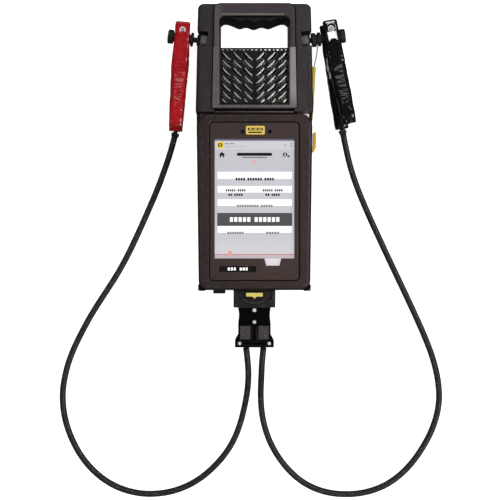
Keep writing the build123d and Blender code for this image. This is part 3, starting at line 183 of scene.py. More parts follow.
RECIPES = {
    # Housing, front parts and handle.
    # Painted light: darker towards the left, and near black along both side edges as painted shade.
    "shell": dict(
        colour=(31, 26, 28), rough=0.46, worn=(116, 106, 102), wear=0.5, speck=0.15,
        along=[(X, -60.0, 60.0, (26, 21, 22)), (X, -67.5, -62.5, (6, 5, 6)), (X, 67.5, 62.5, (6, 5, 6))]),
    "cover": dict(colour=(60, 56, 55), rough=0.45, worn=(160, 156, 152), wear=0.4, speck=0.15),
    # Painted light: darker towards the left, and near black along both side edges as painted shade.
    "front": dict(
        colour=(31, 23, 21), rough=0.42, worn=(120, 110, 104), wear=0.5, speck=0.15,
        along=[(X, -60.0, 60.0, (24, 18, 16)), (X, -66.0, -62.5, (8, 6, 6)), (X, 66.0, 62.5, (8, 6, 6))]),
    # Painted light: darker towards the left, lighter on the right where the key light falls.
    "bezel": dict(
        colour=(40, 30, 27), rough=0.44, worn=(120, 108, 100), wear=0.4, speck=0.12,
        along=[(X, -50.0, 50.0, (34, 26, 23))]),
    # Painted light: much darker on the left half, lighter towards the right where the key light falls; also
    # darker towards the bottom rail.
    "rail": dict(
        colour=(96, 91, 92), rough=0.40, worn=(168, 162, 160), wear=0.4, speck=0.12,
        along=[(X, 0.0, 47.0, (43, 39, 40)), (Y, 45.0, 66.0, (46, 42, 43))]),
    # Painted light: darker towards the left, lighter on the right.
    "waist": dict(colour=(84, 80, 78), rough=0.4, along=[(X, -30.0, 46.0, (40, 37, 36))]),
    # Near white: a painted reflection on the right waist ledge.
    "ledge": dict(colour=(206, 196, 196), rough=0.4),
    # Painted light: lighter at the left end as a painted highlight, and darker along the top edge as painted
    # shade.
    "handle": dict(
        colour=(37, 32, 35), rough=0.38, worn=(150, 146, 144), wear=0.35, speck=0.12,
        along=[(X, -45.0, -36.0, (56, 53, 54)), (Y, 170.0, 166.0, (22, 20, 22))]),
    "grip": dict(
        colour=(7, 6, 6), rough=0.66, Specular_IOR_Level=0.3, relief=0.4, grain=1800.0, worn=(70, 68, 66),
        wear=0.25),
    # A painted highlight: a lighter strip standing for the light on the handle bar's rounded lower front
    # edge.
    "highlight_strip": dict(colour=(66, 62, 57), rough=0.3, worn=(160, 156, 150), wear=0.4),
    # Near black: painted shade in the gaps and grooves between parts and under the handle bar, and the dark
    # paint round the black clamp's jaw screw.
    "seam_shade_and_paint": dict(colour=(4, 4, 4), rough=0.8, Specular_IOR_Level=0.1),
    # Other plastics and rubber.
    "rubber": dict(
        colour=(15, 14, 14), rough=0.72, relief=0.3, grain=2200.0, worn=(84, 82, 80), wear=0.3, speck=0.3),
    "black": dict(
        colour=(12, 12, 13), rough=0.44, Specular_IOR_Level=0.25, worn=(96, 94, 92), wear=0.5, speck=0.2),
    "plug": dict(colour=(2, 2, 2), rough=0.5, worn=(96, 94, 92), wear=0.35, Specular_IOR_Level=0.04),
    "grey": dict(colour=(36, 33, 32), rough=0.48, worn=(120, 118, 114), wear=0.4, speck=0.3),
    "yellow": dict(colour=(152, 137, 73), rough=0.36, shade=0.86, worn=(244, 226, 150), wear=0.4, speck=0.1),
    "stylus": dict(colour=(148, 132, 36), rough=0.34, shade=0.86, worn=(200, 184, 110), wear=0.4, speck=0.1),
    "amber": dict(colour=(158, 118, 32), rough=0.30, shade=0.72, worn=(230, 190, 100), wear=0.4),
    "badge": dict(colour=(158, 134, 64), rough=0.32, shade=0.86, worn=(244, 220, 140), wear=0.3),
    "plate": dict(colour=(11, 8, 10), rough=0.26, worn=(90, 84, 82), wear=0.3),
    "paint": dict(colour=(226, 224, 220), rough=0.5, shade=0.9),
    # Tablet and boards.
    "glass": dict(colour=(16, 16, 18), rough=0.06, spread=0.02, relief=0.0, shade=0.9, edge=0.2),
    "lens": dict(colour=(9, 9, 12), rough=0.05, spread=0.02, relief=0.0),
    "display": dict(colour=(200, 200, 204), rough=0.4, shade=0.97),
    "tablet": dict(colour=(52, 52, 56), rough=0.4, metal=0.6),
    "foil": dict(colour=(150, 152, 156), rough=0.35, metal=0.9, patch=90.0),
    "board": dict(colour=(24, 84, 52), rough=0.4, patch=300.0, shade=0.6, relief=0.4),
    "relay": dict(colour=(22, 22, 24), rough=0.4, worn=(90, 90, 90)),
    # Grille and load.
    # Painted glints: the grille plate's bright edges.
    "black_metal": dict(
        colour=(11, 11, 12), rough=0.34, metal=0.1, worn=(170, 168, 164), wear=0.9, edge=0.35),
    # Painted highlights: the black metal lips painted near white, with sparse glint patches and bright edges,
    # darker towards the left.
    "louvre_glint": dict(
        colour=(216, 213, 210), rough=0.25, metal=0.3, patch=210.0, shade=0.12, worn=(246, 244, 240),
        wear=0.9, edge=0.3, along=[(X, -8.0, 10.0, (92, 90, 90))]),
    # Painted light: lighter on the right, darker towards the left.
    "rim": dict(
        colour=(70, 68, 66), rough=0.35, patch=160.0, shade=0.2, along=[(X, -8.0, 14.0, (30, 29, 29))]),
    # Painted highlights: sparse bright glint patches, and darker towards the left.
    "coil": dict(
        colour=(196, 190, 182), rough=0.3, metal=0.6, patch=260.0, shade=0.1,
        along=[(X, -8.0, 14.0, (84, 80, 76))]),
    # Painted shade: the formers are darkened for the shade inside the grille.
    "ceramic": dict(colour=(70, 62, 54), rough=0.5, patch=120.0, shade=0.7, speck=0.2),
    # Painted shade: the heat shield is darkened for the shade inside the grille.
    "shield": dict(colour=(40, 39, 38), rough=0.5, metal=0.6, patch=120.0, shade=0.6),
    # Bare metals.
    "copper": dict(colour=(196, 118, 72), rough=0.3, metal=1.0, patch=70.0, shade=0.6),
    "brass": dict(colour=(196, 158, 86), rough=0.3, metal=1.0, patch=160.0, shade=0.55, worn=(236, 210, 140)),
    "steel": dict(
        colour=(176, 178, 180), rough=0.26, metal=1.0, patch=80.0, shade=0.62, spread=0.1,
        worn=(222, 222, 220), wear=0.8),
    "zinc": dict(
        colour=(204, 204, 202), rough=0.34, metal=0.3, patch=260.0, shade=0.8, spread=0.1,
        worn=(205, 204, 200), wear=0.8),
    "bright": dict(
        colour=(196, 196, 198), rough=0.22, metal=0.6, patch=200.0, shade=0.8, spread=0.08,
        worn=(246, 246, 244), wear=0.8, edge=0.25),
    "screw": dict(
        colour=(138, 140, 144), rough=0.3, metal=0.5, patch=300.0, shade=0.5, worn=(240, 240, 240), wear=0.9,
        edge=0.2),
    # Clamps, leads and tether.
    "red_vinyl": dict(
        colour=(112, 4, 10), rough=0.3, patch=60.0, shade=0.66, grain=300.0, relief=0.42, worn=(206, 88, 86),
        wear=0.3, speck=0.06, Specular_IOR_Level=0.14, Coat_Weight=0.7, Coat_Roughness=0.07),
    "black_vinyl": dict(
        colour=(4, 3, 3), rough=0.3, patch=60.0, shade=0.7, grain=300.0, relief=0.42, worn=(70, 67, 65),
        wear=0.3, speck=0.04, Specular_IOR_Level=0.08, Coat_Weight=0.6, Coat_Roughness=0.06),
    "lead": dict(
        colour=(16, 16, 14), rough=0.5, Specular_IOR_Level=0.35, patch=30.0, grain=1300.0, relief=0.25,
        speck=0.35),
    "string": dict(colour=(26, 26, 27), rough=0.7, grain=2600.0, relief=0.5, stretch=(1.0, 0.3, 1.0)),
}
FINISH = {name: finish_of(name, **recipe) for name, recipe in RECIPES.items()}

SCREEN_ALBEDO, SCREEN_GLOW, SCREEN_SPECULAR = 0.3, 1.3, 0.2
SCREEN_ROUGH_LOW, SCREEN_ROUGH_HIGH = 0.16, 0.26
CLOUD_SCALE, CLOUD_SHADE = 35.0, 0.975
DOT_SCALE, DOT_SHARE, DOT_SHADE = 4200.0, 0.05, 0.8


def screen_finish(name, colour, fade=None):
    """A lit part of the display under clear glass. fade is (low y, high y, colour at the low end)."""
    material, tree, shader, place = new_material(name)
    clouds = remap(tree, noise_of(tree, place, CLOUD_SCALE), NOISE_LOW, NOISE_HIGH)
    tone = mixed(tree, clouds, scaled(colour, CLOUD_SHADE), colour)
    if fade:
        low, high, end_colour = fade
        height = shader_node(tree, "SeparateXYZ", {"Vector": place}).outputs["Y"]
        tone = mixed(tree, remap(tree, height, low, high), end_colour, tone)
    dots = remap(tree, noise_of(tree, place, DOT_SCALE, 1.0), NOISE_LOW, NOISE_HIGH, 0.0, DOT_SHARE)
    tone = mixed(tree, dots, tone, scaled(colour, DOT_SHADE))
    wired(tree, shader.inputs["Base Color"], mixed(tree, SCREEN_ALBEDO, (0.0, 0.0, 0.0, 1.0), tone))
    wired(tree, shader.inputs["Emission Color"], tone)
    shader.inputs["Emission Strength"].default_value = SCREEN_GLOW
    shader.inputs["Specular IOR Level"].default_value = SCREEN_SPECULAR
    gloss = noise_of(tree, place, GLOSS_SCALE)
    wired(tree, shader.inputs["Roughness"],
          remap(tree, gloss, NOISE_LOW, NOISE_HIGH, SCREEN_ROUGH_LOW, SCREEN_ROUGH_HIGH))
    return material


UI_COLOURS = {
    "ui_status": (76, 76, 86), "ui_header": (154, 153, 158), "ui_icon": (176, 152, 52),
    "ui_dark": (18, 17, 19), "ui_grey": (92, 90, 94), "ui_pale": (128, 126, 131),
    "ui_white": (204, 203, 206), "ui_lower": (150, 149, 154), "ui_band": (60, 58, 60),
    "ui_red": (150, 80, 80), "ui_foot": (147, 137, 140), "ui_salmon": (180, 118, 100),
    "ui_tab": (168, 165, 168),
}
for ui_name, ui_colour in UI_COLOURS.items():
    FINISH[ui_name] = screen_finish(ui_name, srgb(*ui_colour))
FINISH["ui_page"] = screen_finish("ui_page", srgb(147, 145, 150), (-0.126, -0.085, srgb(156, 154, 158)))

NODE_FINISH = {
    "shell": ["rear_housing", "upper_cover"],
    "rail": ["grille_surround"],
    "handle": ["handle_frame"],
    "front": ["front_frame"],
    "bezel": ["inner_bezel"],
    "rubber": ["housing_seal", "handle_grip", "corner_feet", "port_cap", "plug_glands",
               "lead_ferrules"],
    "black": ["left_peg", "right_peg", "dock_shell"],
    "plug": ["plug_shell_rear", "plug_shell_front", "plug_nose", "strain_bar"],
    "grey": ["plug_panels"],
    "black_metal": ["grille"],
    "yellow": ["latch_button"],
    "stylus": ["stylus"],
    "amber": ["side_clip"],
    "badge": ["badge"],
    "plate": ["label_plate"],
    "glass": ["screen_glass"],
    "display": ["lcd_panel"],
    "tablet": ["tablet_case"],
    "foil": ["tablet_battery"],
    "board": ["main_board"],
    "relay": ["load_relay", "port_jack"],
    "copper": ["bus_bars"],
    "brass": ["red_front_jaw", "black_front_jaw", "rear_jaws", "plug_contacts", "dock_contacts"],
    "coil": ["load_coils"],
    "ceramic": ["coil_formers"],
    "bright": ["plug_screws", "clamp_pins"],
    "steel": ["housing_screws", "clamp_springs", "latch_springs"],
    "shield": ["heat_shield"],
    "zinc": ["red_front_arm", "red_rear_arm", "black_front_arm", "black_rear_arm"],
    "red_vinyl": ["red_front_sleeve", "red_rear_sleeve"],
    "black_vinyl": ["black_front_sleeve", "black_rear_sleeve"],
    "lead": ["red_lead", "black_lead"],
    "lens": ["bezel_windows"],
    "string": ["stylus_tether", "tether_loop"],
}
for finish_name, members in NODE_FINISH.items():
    for member in members:
        coat(nodes[member], FINISH[finish_name])


# -------------------- mesh helpers
def shown(name, mesh, finish_name, body="root", smooth=True):
    """Puts a mesh in the scene with a finish, riding on a body."""
    made = bpy.data.objects.new(name, mesh)
    bpy.context.scene.collection.objects.link(made)
    coat(made, FINISH[finish_name])
    for polygon in mesh.polygons:
        polygon.use_smooth = smooth
    if body:
        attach(made, body)
    return made


def mesh_of(name, points, faces):
    """A mesh from points in metres and faces given by the points' numbers."""
    mesh = bpy.data.meshes.new(name)
    mesh.from_pydata([tuple(point) for point in points], [], faces)
    mesh.validate()
    mesh.update()
    return mesh


def piece(name, parts, finish_name, body="root", smooth=True):
    """Shows one mesh made of several (points, faces) pairs."""
    points, faces = [], []
    for part_points, part_faces in parts:
        start = len(points)
        points += part_points
        faces += [[start + index for index in face] for face in part_faces]
    return shown(name, mesh_of(name, points, faces), finish_name, body, smooth)


def thickened(made, thickness, offset):
    """Gives a surface a thickness in millimetres, on its inner (-1) or outer (1) side."""
    skin = made.modifiers.new("skin", "SOLIDIFY")
    skin.thickness = thickness * MM
    skin.offset = offset


def bridged(rings):
    """A capped skin through closed rings of points, all with the same count."""
    count = len(rings[0])
    points = [point for ring in rings for point in ring]
    faces = []
    for row in range(len(rings) - 1):
        for step in range(count):
            after = (step + 1) % count
            low, high = row * count, (row + 1) * count
            faces.append([low + step, low + after, high + after, high + step])
    last = (len(rings) - 1) * count
    faces.append(list(range(count))[::-1])
    faces.append([last + step for step in range(count)])
    return points, faces


def swept(path, radius, sides=12):
    """A tube along a path, its rings carried along without twist. radius may be a function of the share."""
    rings = []
    up = Vector((0, 0, 1))
    for index, point in enumerate(path):
        before, after = path[max(index - 1, 0)], path[min(index + 1, len(path) - 1)]
        along = (after - before).normalized()
        across = up.cross(along)
        if across.length < 1e-4:
            across = Vector((1, 0, 0)).cross(along)
        across.normalize()
        up = along.cross(across).normalized()
        size = radius(index / (len(path) - 1)) if callable(radius) else radius
        rings.append([
            point + (across * math.cos(turn) + up * math.sin(turn)) * size
            for turn in [2 * math.pi * step / sides for step in range(sides)]
        ])
    return bridged(rings)


# -------------------- camera
CAMERA_PLACE = (-0.0053, -0.1214, 1.2)  # in metres, looking straight down
SENSOR_WIDTH, FOCAL_LENGTH = 36.0, 69.1
camera_data = bpy.data.cameras.new("camera")
camera_data.sensor_width = SENSOR_WIDTH
camera_data.lens = FOCAL_LENGTH
camera = bpy.data.objects.new("camera", camera_data)
camera.location = CAMERA_PLACE
bpy.context.scene.collection.objects.link(camera)
bpy.context.scene.camera = camera
bpy.context.scene.view_settings.view_transform = "Standard"


# -------------------- leads
LEAD_R = 3.8 * MM
LEAD_LEVEL = 3.9  # of the route points without a height, which lie on the floor
LEAD_ROUTES = {
    "red_lead": [
        (-10.0, -240.0, 35.0), (-7.9, -257.0, 33.8), (-7.0, -276.0, 25.5), (-8.6, -297.0, 14.0),
        (-12.6, -319.0, 5.9), (-18.2, -341.0), (-27.5, -363.0), (-43.5, -385.5), (-69.0, -408.5),
        (-99.5, -422.5), (-133.0, -426.5), (-164.0, -420.5), (-190.0, -406.5), (-212.0, -384.5),
        (-227.0, -359.0), (-236.5, -331.5), (-239.5, -303.0), (-236.0, -277.0), (-228.5, -252.0),
        (-217.0, -227.5), (-203.5, -202.5), (-187.5, -177.5), (-171.0, -152.5), (-156.0, -125.0),
        (-143.0, -97.0), (-131.0, -70.0), (-120.0, -44.5, 5.0), (-110.8, -20.5, 8.2), (-103.3, 0.5, 12.0),
        (-98.3, 18.4, 15.0),
    ],
    "black_lead": [
        (11.0, -240.0, 35.0), (9.2, -257.0, 33.8), (8.6, -276.0, 25.5), (7.8, -297.0, 14.0),
        (8.6, -319.0, 5.9), (12.4, -341.0), (20.5, -363.5), (34.5, -386.5), (55.0, -408.0), (80.5, -421.5),
        (109.0, -426.5), (140.0, -424.0), (168.0, -413.0), (191.5, -393.5), (210.0, -368.5), (224.0, -341.0),
        (231.0, -312.0), (229.5, -284.0), (223.0, -256.5), (212.5, -229.0), (199.5, -200.0), (185.5, -170.0),
        (170.5, -138.5), (156.5, -108.5), (143.0, -79.0), (131.0, -51.0, 4.1), (121.5, -25.5, 6.4),
        (114.6, -1.0, 10.9), (109.6, 22.0, 15.0),
    ],
}


def routed(route, steps=12):
    """The smooth line of a NURBS spline with the route's points, in millimetres, as control points."""
    curve = bpy.data.curves.new("route", "CURVE")
    curve.dimensions = "3D"
    line = curve.splines.new("NURBS")
    line.points.add(len(route) - 1)
    for point, place in zip(line.points, route):
        point.co = (*[value * MM for value in place], 1.0)
    line.order_u = 3
    line.use_endpoint_u = True
    line.resolution_u = steps
    carrier = bpy.data.objects.new("route", curve)
    traced = bpy.data.meshes.new_from_object(carrier)
    path = [vertex.co.copy() for vertex in traced.vertices]
    bpy.data.objects.remove(carrier)
    bpy.data.meshes.remove(traced)
    return path


for name, route in LEAD_ROUTES.items():
    path = routed([place if len(place) == 3 else (*place, LEAD_LEVEL) for place in route])
    lead = piece(name + "_cable", [swept(path, LEAD_R, 20)], "lead", None)
    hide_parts(name)
    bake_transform(lead)


# -------------------- shapes used by several pieces
def along_profile(profile, place):
    """The value at a place on a profile of (place, value) points, sorted, with straight runs between them."""
    for (left, low), (right, high) in zip(profile, profile[1:]):
        if place <= right:
            return low + (high - low) * (place - left) / (right - left)
    return profile[-1][1]


def eased(profile, place, reach=3.0):
    """The profile's value, averaged over a reach on both sides, so that its corners are round."""
    samples = [place + reach * step / 3 for step in range(-3, 4)]
    low, high = profile[0][0], profile[-1][0]
    return sum(along_profile(profile, min(max(sample, low), high)) for sample in samples) / len(samples)


def ramp(value, low, high):
    """A smooth step from 0 at low to 1 at high."""
    share = min(max((value - low) / (high - low), 0.0), 1.0)
    return share * share * (3 - 2 * share)


LEAST_CORNER, CROWN_EASE = 0.05, 0.3


def rounded_plate(centre, width, height, low, high, corner=1.0, crown=0.25, steps=6):
    """A thin plate lying in the XY plane, in millimetres, with round corners and softened top edges."""
    def ring(inset, level):
        points = []
        radius = max(corner - inset, LEAST_CORNER)
        for turn, side_x, side_y in ((0, 1, 1), (90, -1, 1), (180, -1, -1), (270, 1, -1)):
            for step in range(steps + 1):
                angle = math.radians(turn + 90 * step / steps)
                points.append(Vector((
                    centre[0] + side_x * (width / 2 - inset - radius) + radius * math.cos(angle),
                    centre[1] + side_y * (height / 2 - inset - radius) + radius * math.sin(angle),
                    level,
                )) * MM)
        return points
    eased_edge = ring(crown * CROWN_EASE, high - crown * CROWN_EASE)
    return bridged([ring(0, low), ring(0, high - crown), eased_edge, ring(crown, high)])


DOME_POWER, DOME_CENTRE = 0.7, 0.02
RECESS_END, RECESS_FULL = 0.72, 0.6  # shares of the head's radius
RECESS_WALL, RECESS_DEPTH = 0.6, 0.5  # shares of the slot's width and of the head's height


def pan_head(base, normal, radius, height, slot_width, around=48, bands=9):
    """A domed screw head in millimetres on a base point, with a cross recess."""
    normal = Vector(normal).normalized()
    side = Vector((1, 0, 0)) if abs(normal.x) < 0.7 else Vector((0, 1, 0))
    side = (side - normal * side.dot(normal)).normalized()
    other = normal.cross(side)
    rings = []
    for band in range(bands + 3):
        share = min(band / bands, 1.0)
        reach = radius * math.cos(share * math.pi / 2) if band <= bands else DOME_CENTRE
        ring = []
        for step in range(around):
            angle = 2 * math.pi * step / around
            level = height * math.sin(share * math.pi / 2) ** DOME_POWER
            x, y = reach * math.cos(angle), reach * math.sin(angle)
            inside = ramp(min(abs(x), abs(y)), slot_width, slot_width * RECESS_WALL)
            inside *= ramp(reach, radius * RECESS_END, radius * RECESS_FULL)
            level -= inside * height * RECESS_DEPTH
            ring.append((Vector(base) + side * x + other * y + normal * level) * MM)
        rings.append(ring)
    return bridged(rings)


def helix(centre, axis, radius, length, turns, per_turn=20):
    """Points of a helix in millimetres, centred on a point, its axis given."""
    axis = Vector(axis).normalized()
    side = Vector((0, 0, 1)) - axis * axis.z
    side.normalize()
    other = axis.cross(side)
    count = int(turns * per_turn)
    points = []
    for step in range(count + 1):
        angle = 2 * math.pi * step / per_turn
        travel = axis * length * (step / count - 0.5)
        points.append((Vector(centre) + travel + side * radius * math.cos(angle)
                       + other * radius * math.sin(angle)) * MM)
    return points


# -------------------- clamp sleeves, screws and springs
# u runs along a clamp from its pivot to its tip, x across it, and v over it, away from the other arm.
PEG_Z = 40.0
PIVOT_TO_TIP = 54.0
CLAMP_ROLL = math.radians(4.4)
# Tip and handle end of each clamp.
CLAMP_ENDS = {"red": ((-86.2, 151.7), (-95.2, 24.6)), "black": ((88.9, 153.5), (110.2, 28.7))}
SLEEVE_TOP = [(-73.0, 27.6), (-71.0, 29.6), (-64.0, 30.0), (-40.0, 25.6), (-14.0, 18.8), (0.0, 16.0),
              (22.0, 14.8), (50.0, 14.2), (54.0, 13.2)]
SLEEVE_UNDER = [(-73.0, 21.4), (-70.0, 19.6), (-40.0, 14.8), (-18.0, 9.4), (-9.0, 5.0), (9.0, 5.0),
                (18.0, 9.6), (54.0, 9.6)]
HALF_WIDTHS = [(-73.0, 6.8), (-45.0, 7.8), (-20.0, 8.2), (-4.0, 9.0), (10.0, 9.0), (30.0, 7.8), (54.0, 7.5)]
SLEEVE_BACK, SLEEVE_TIP = -73.0, 52.8
SLEEVE_SKIN = 1.3
WINDOW_LOW, WINDOW_HIGH, WINDOW_HALF = 27.4, 51.3, 5.6
SQUARENESS = 0.5  # power of the section's sine and cosine
BLUNT_SHARE, BLUNT_REACH = 0.06, 1.0
FOLD_SWELL, CREASE_SWELL, BEND_SWELL, OVER_SHARE = 0.55, 0.16, 0.3, 0.8
LUMPS_LOW, LUMPS_HIGH, LUMPS_EASE, LUMPS_SCALE = -60.0, -16.0, 4.0, 0.55
LUMPS_RISE, LUMPS_EDGE, LUMPS_FULL = 2.3, 5.8, 3.6
UNDERSIDE_SHARE = 0.25
RAG_DEPTH, RAG_REACH, RAG_SCALE, RAG_STRETCH = 2.4, 5.0, 0.45, 1.6
WINDOW_ARCH, WINDOW_LEAN = 3.0, 0.2
PIVOT_SLIT, SLIT_LEAN = 13.0, 0.1


def clamp_frame(colour):
    """Maps (across, along, over) millimetres of a clamp to metres in the part's frame, and gives its axes."""
    tip, end = [Vector((*place, 0.0)) for place in CLAMP_ENDS[colour]]
    along = (tip - end).normalized()
    pin = Vector((along.y, -along.x, 0)) * math.cos(CLAMP_ROLL) - Vector((0, 0, math.sin(CLAMP_ROLL)))
    over = pin.cross(along)
    pivot = tip + Vector((0, 0, PEG_Z)) - along * PIVOT_TO_TIP
    return lambda x, u, v: (pivot + pin * x + along * u + over * v) * MM, (pin, along, over)


def sleeve_waves(u, round_x, round_v, seed):
    """The folds and creases of a sleeve, deepest where it passes over the pivot."""
    fold = noise.noise(Vector((u * 0.07 + seed, round_x * 0.9, round_v * 1.4)))
    crease = noise.noise(Vector((u * 0.24, round_x * 1.2 + seed, round_v)))
    bend = ramp(u, -24.0, -8.0) * ramp(u, 16.0, 2.0)
    return FOLD_SWELL * fold + (CREASE_SWELL + BEND_SWELL * bend) * crease


def sleeve_lumps(u, x, seed):
    """How far the embossed lumps at mid-handle stand out."""
    raised = ramp(u, LUMPS_LOW, LUMPS_LOW + LUMPS_EASE) * ramp(u, LUMPS_HIGH, LUMPS_HIGH - LUMPS_EASE)
    raised *= ramp(abs(x), LUMPS_EDGE, LUMPS_FULL)
    lump = noise.noise(Vector((u * LUMPS_SCALE, x * LUMPS_SCALE, seed)))
    return LUMPS_RISE * raised * max(lump, 0.0)


def vinyl_sleeve(name, colour, sign, body, window=False, stations=127, around=56):
    """A soft vinyl sleeve over one clamp arm: wrinkled, embossed, open at the back and slit at the pivot."""
    place, _ = clamp_frame(colour)
    seed = len(colour) * 7.0 + sign * 3.0
    points, faces = [], []
    spots = []  # per point: its station, its offset across and its lean to the outside
    for row in range(stations + 1):
        u = SLEEVE_BACK + (SLEEVE_TIP - SLEEVE_BACK) * row / stations
        top, under = eased(SLEEVE_TOP, u), eased(SLEEVE_UNDER, u)
        half = eased(HALF_WIDTHS, u, 5.0)
        middle, reach = (top + under) / 2, (top - under) / 2
        blunt = 1 - BLUNT_SHARE * ramp(u, SLEEVE_TIP - BLUNT_REACH, SLEEVE_TIP)
        for step in range(around):
            angle = 2 * math.pi * step / around
            lean_x, lean_v = math.cos(angle), math.sin(angle)
            round_x = math.copysign(abs(lean_x) ** SQUARENESS, lean_x)
            round_v = math.copysign(abs(lean_v) ** SQUARENESS, lean_v)
            swell = sleeve_waves(u, round_x, round_v, seed)
            x = round_x * (half * blunt + swell)
            if lean_v > 0:
                swell += sleeve_lumps(u, x, seed)
            else:
                swell *= UNDERSIDE_SHARE
            ragged = RAG_DEPTH * noise.noise(Vector((x * RAG_SCALE, seed, sign)))
            ragged *= ramp(u, SLEEVE_BACK + RAG_REACH, SLEEVE_BACK)
            over = sign * (middle + round_v * (reach * blunt + swell * OVER_SHARE))
            points.append(place(x, u + abs(ragged) * RAG_STRETCH, over))
            spots.append((u, x, lean_v))
    for row in range(stations):
        for step in range(around):
            corners = [row * around + step, row * around + (step + 1) % around]
            corners += [corners[1] + around, corners[0] + around]
            u = spots[corners[0]][0]
            leans = [spots[corner][2] for corner in corners]
            if abs(u) < PIVOT_SLIT and max(leans) < SLIT_LEAN:
                continue
            if window and min(leans) > WINDOW_LEAN:
                x = sum(spots[corner][1] for corner in corners) / len(corners)
                arch = WINDOW_LOW + WINDOW_ARCH * (1 - (x / WINDOW_HALF) ** 2)
                if abs(x) < WINDOW_HALF and arch < u < WINDOW_HIGH:
                    continue
            faces.append(corners if sign > 0 else corners[::-1])
    tip = [stations * around + step for step in range(around)]
    faces.append(tip if sign > 0 else tip[::-1])
    sleeve = shown(name, mesh_of(name, points, faces), colour + "_vinyl", body)
    thickened(sleeve, SLEEVE_SKIN, -1.0)
    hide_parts(name.replace("_skin", ""))


def dished_washer(foot, axes, outer, inner, around=48):
    """A washer with a soft edge and a sunk middle, in millimetres, on a base point."""
    pin, along, over = axes
    profile = [(outer, -0.6), (outer, 0.4), (outer - 0.4, 0.8), (inner + 0.6, 0.7), (inner + 0.5, 0.2),
               (inner * 0.6, 0.2)]
    return bridged([
        [foot * MM + (pin * math.cos(turn) + along * math.sin(turn)) * radius * MM + over * level * MM
         for turn in [2 * math.pi * step / around for step in range(around)]]
        for radius, level in profile
    ])


# Along, over, head radius and washer radius of each jaw screw.
JAW_SCREWS = {"red": (43.6, 15.0, 1.9, 3.9), "black": (43.2, 13.3, 2.6, 4.1)}
SCREW_LIFT, SCREW_HEIGHT, SCREW_SLOT = 0.2, 1.2, 0.5
PAINT_CORNERS, PAINT_OVER = [(-5.5, 39.8), (5.5, 39.8), (5.2, 50.4), (-5.2, 50.4)], 13.35
TIP_RIM_U, TIP_RIM_OVER, TIP_RIM_ACROSS, TIP_RIM_ALONG, TIP_RIM_R = 46.8, 13.5, 4.2, 3.4, 0.45 * MM
SPRING_R, SPRING_LENGTH, SPRING_TURNS, SPRING_WIRE = 5.6, 4.6, 3.5, 0.9 * MM
SPRING_LEG = [(2.3, 0.0, 5.6), (2.3, -3.0, 7.4), (2.2, -14.0, 12.0), (2.0, -30.0, 18.6)]
for colour in CLAMP_ENDS:
    place, (pin, along, over) = clamp_frame(colour)
    moving = colour + "_clamp"
    vinyl_sleeve(colour + "_front_sleeve_skin", colour, 1, moving, window=colour == "black")
    vinyl_sleeve(colour + "_rear_sleeve_skin", colour, -1, "root")
    screw_u, screw_v, screw_r, washer_r = JAW_SCREWS[colour]
    foot = place(0, screw_u, screw_v) / MM
    washer = dished_washer(foot, (pin, along, over), washer_r, screw_r)
    head = pan_head(foot + over * SCREW_LIFT, over, screw_r, SCREW_HEIGHT, SCREW_SLOT)
    piece(colour + "_jaw_washer", [washer], "bright", moving)
    piece(colour + "_jaw_screw", [head], "screw", moving)
    if colour == "black":
        # Dark paint round the screw, and the polished edge of the pressed tip.
        paint = [place(x, u, PAINT_OVER) for x, u in PAINT_CORNERS]
        shown("black_tip_paint", mesh_of("black_tip_paint", paint, [[0, 1, 2, 3]]), "seam_shade_and_paint", moving)
        rim = [place(TIP_RIM_ACROSS * math.sin(math.radians(turn)),
                     TIP_RIM_U + TIP_RIM_ALONG * math.cos(math.radians(turn)), TIP_RIM_OVER)
               for turn in range(-70, 71, 10)]
        piece("black_tip_rim", [swept(rim, TIP_RIM_R, 8)], "bright", moving)
    # Torsion spring: the coil and rear leg stay, the front leg goes with the front arm.
    coil = helix(place(0, 0, 0) / MM, pin, SPRING_R, SPRING_LENGTH, SPRING_TURNS)
    rear_leg = [place(x, u, -v) for x, u, v in SPRING_LEG]
    front_leg = [place(-x, u, v) for x, u, v in SPRING_LEG]
    spring = piece(colour + "_spring_coil", [swept(coil, SPRING_WIRE, 10), swept(rear_leg, SPRING_WIRE, 10)],
                   "steel")
    piece(colour + "_spring_leg", [swept(front_leg, SPRING_WIRE, 10)], "steel", moving)
    if colour == "red":
        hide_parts("clamp_springs")


# -------------------- handle grip, painted highlight strip and painted shadow
GRIP_HALF = 41.0
GRIP_LOBES = [(-GRIP_HALF, 147.6), (-39.4, 150.4), (-35.6, 152.0), (-30.0, 150.9), (-18.0, 145.7),
              (-10.0, 148.4), (-1.0, 144.7), (8.5, 148.4), (17.0, 145.7), (29.0, 150.9), (34.6, 152.0),
              (38.8, 150.4), (GRIP_HALF, 147.6)]
GRIP_BACK, GRIP_FRONT, GRIP_STEP_Z = 28.0, 71.0, 45.8
GRIP_TOP, GRIP_STEP_Y = 169.4, 152.85
GRIP_ROUND, LOBE_ROUND, LOBE_DEPTH, GRIP_SLICES = 5.0, 4.5, 10.0, 111


def grip_section(x):
    """The grip's closed outline in a plane across the handle."""
    low = eased(GRIP_LOBES, x, 2.4)
    outline = [(GRIP_STEP_Y, GRIP_FRONT), (GRIP_STEP_Y, GRIP_STEP_Z), (GRIP_TOP, GRIP_STEP_Z),
               (GRIP_TOP, GRIP_BACK + GRIP_ROUND)]
    outline += [(GRIP_TOP - GRIP_ROUND + GRIP_ROUND * math.cos(turn),
                 GRIP_BACK + GRIP_ROUND - GRIP_ROUND * math.sin(turn))
                for turn in (0.4, 0.8, 1.2, math.pi / 2)]
    turns = [math.pi / 2 * step / 12 for step in range(13)]
    outline += [(low + LOBE_ROUND * (1 - math.sin(turn)), GRIP_BACK + LOBE_DEPTH * (1 - math.cos(turn)))
                for turn in turns]
    outline += [(low + LOBE_ROUND * (1 - math.cos(turn)), GRIP_FRONT - LOBE_DEPTH * (1 - math.sin(turn)))
                for turn in turns]
    return [Vector((x, y, z)) * MM for y, z in outline]


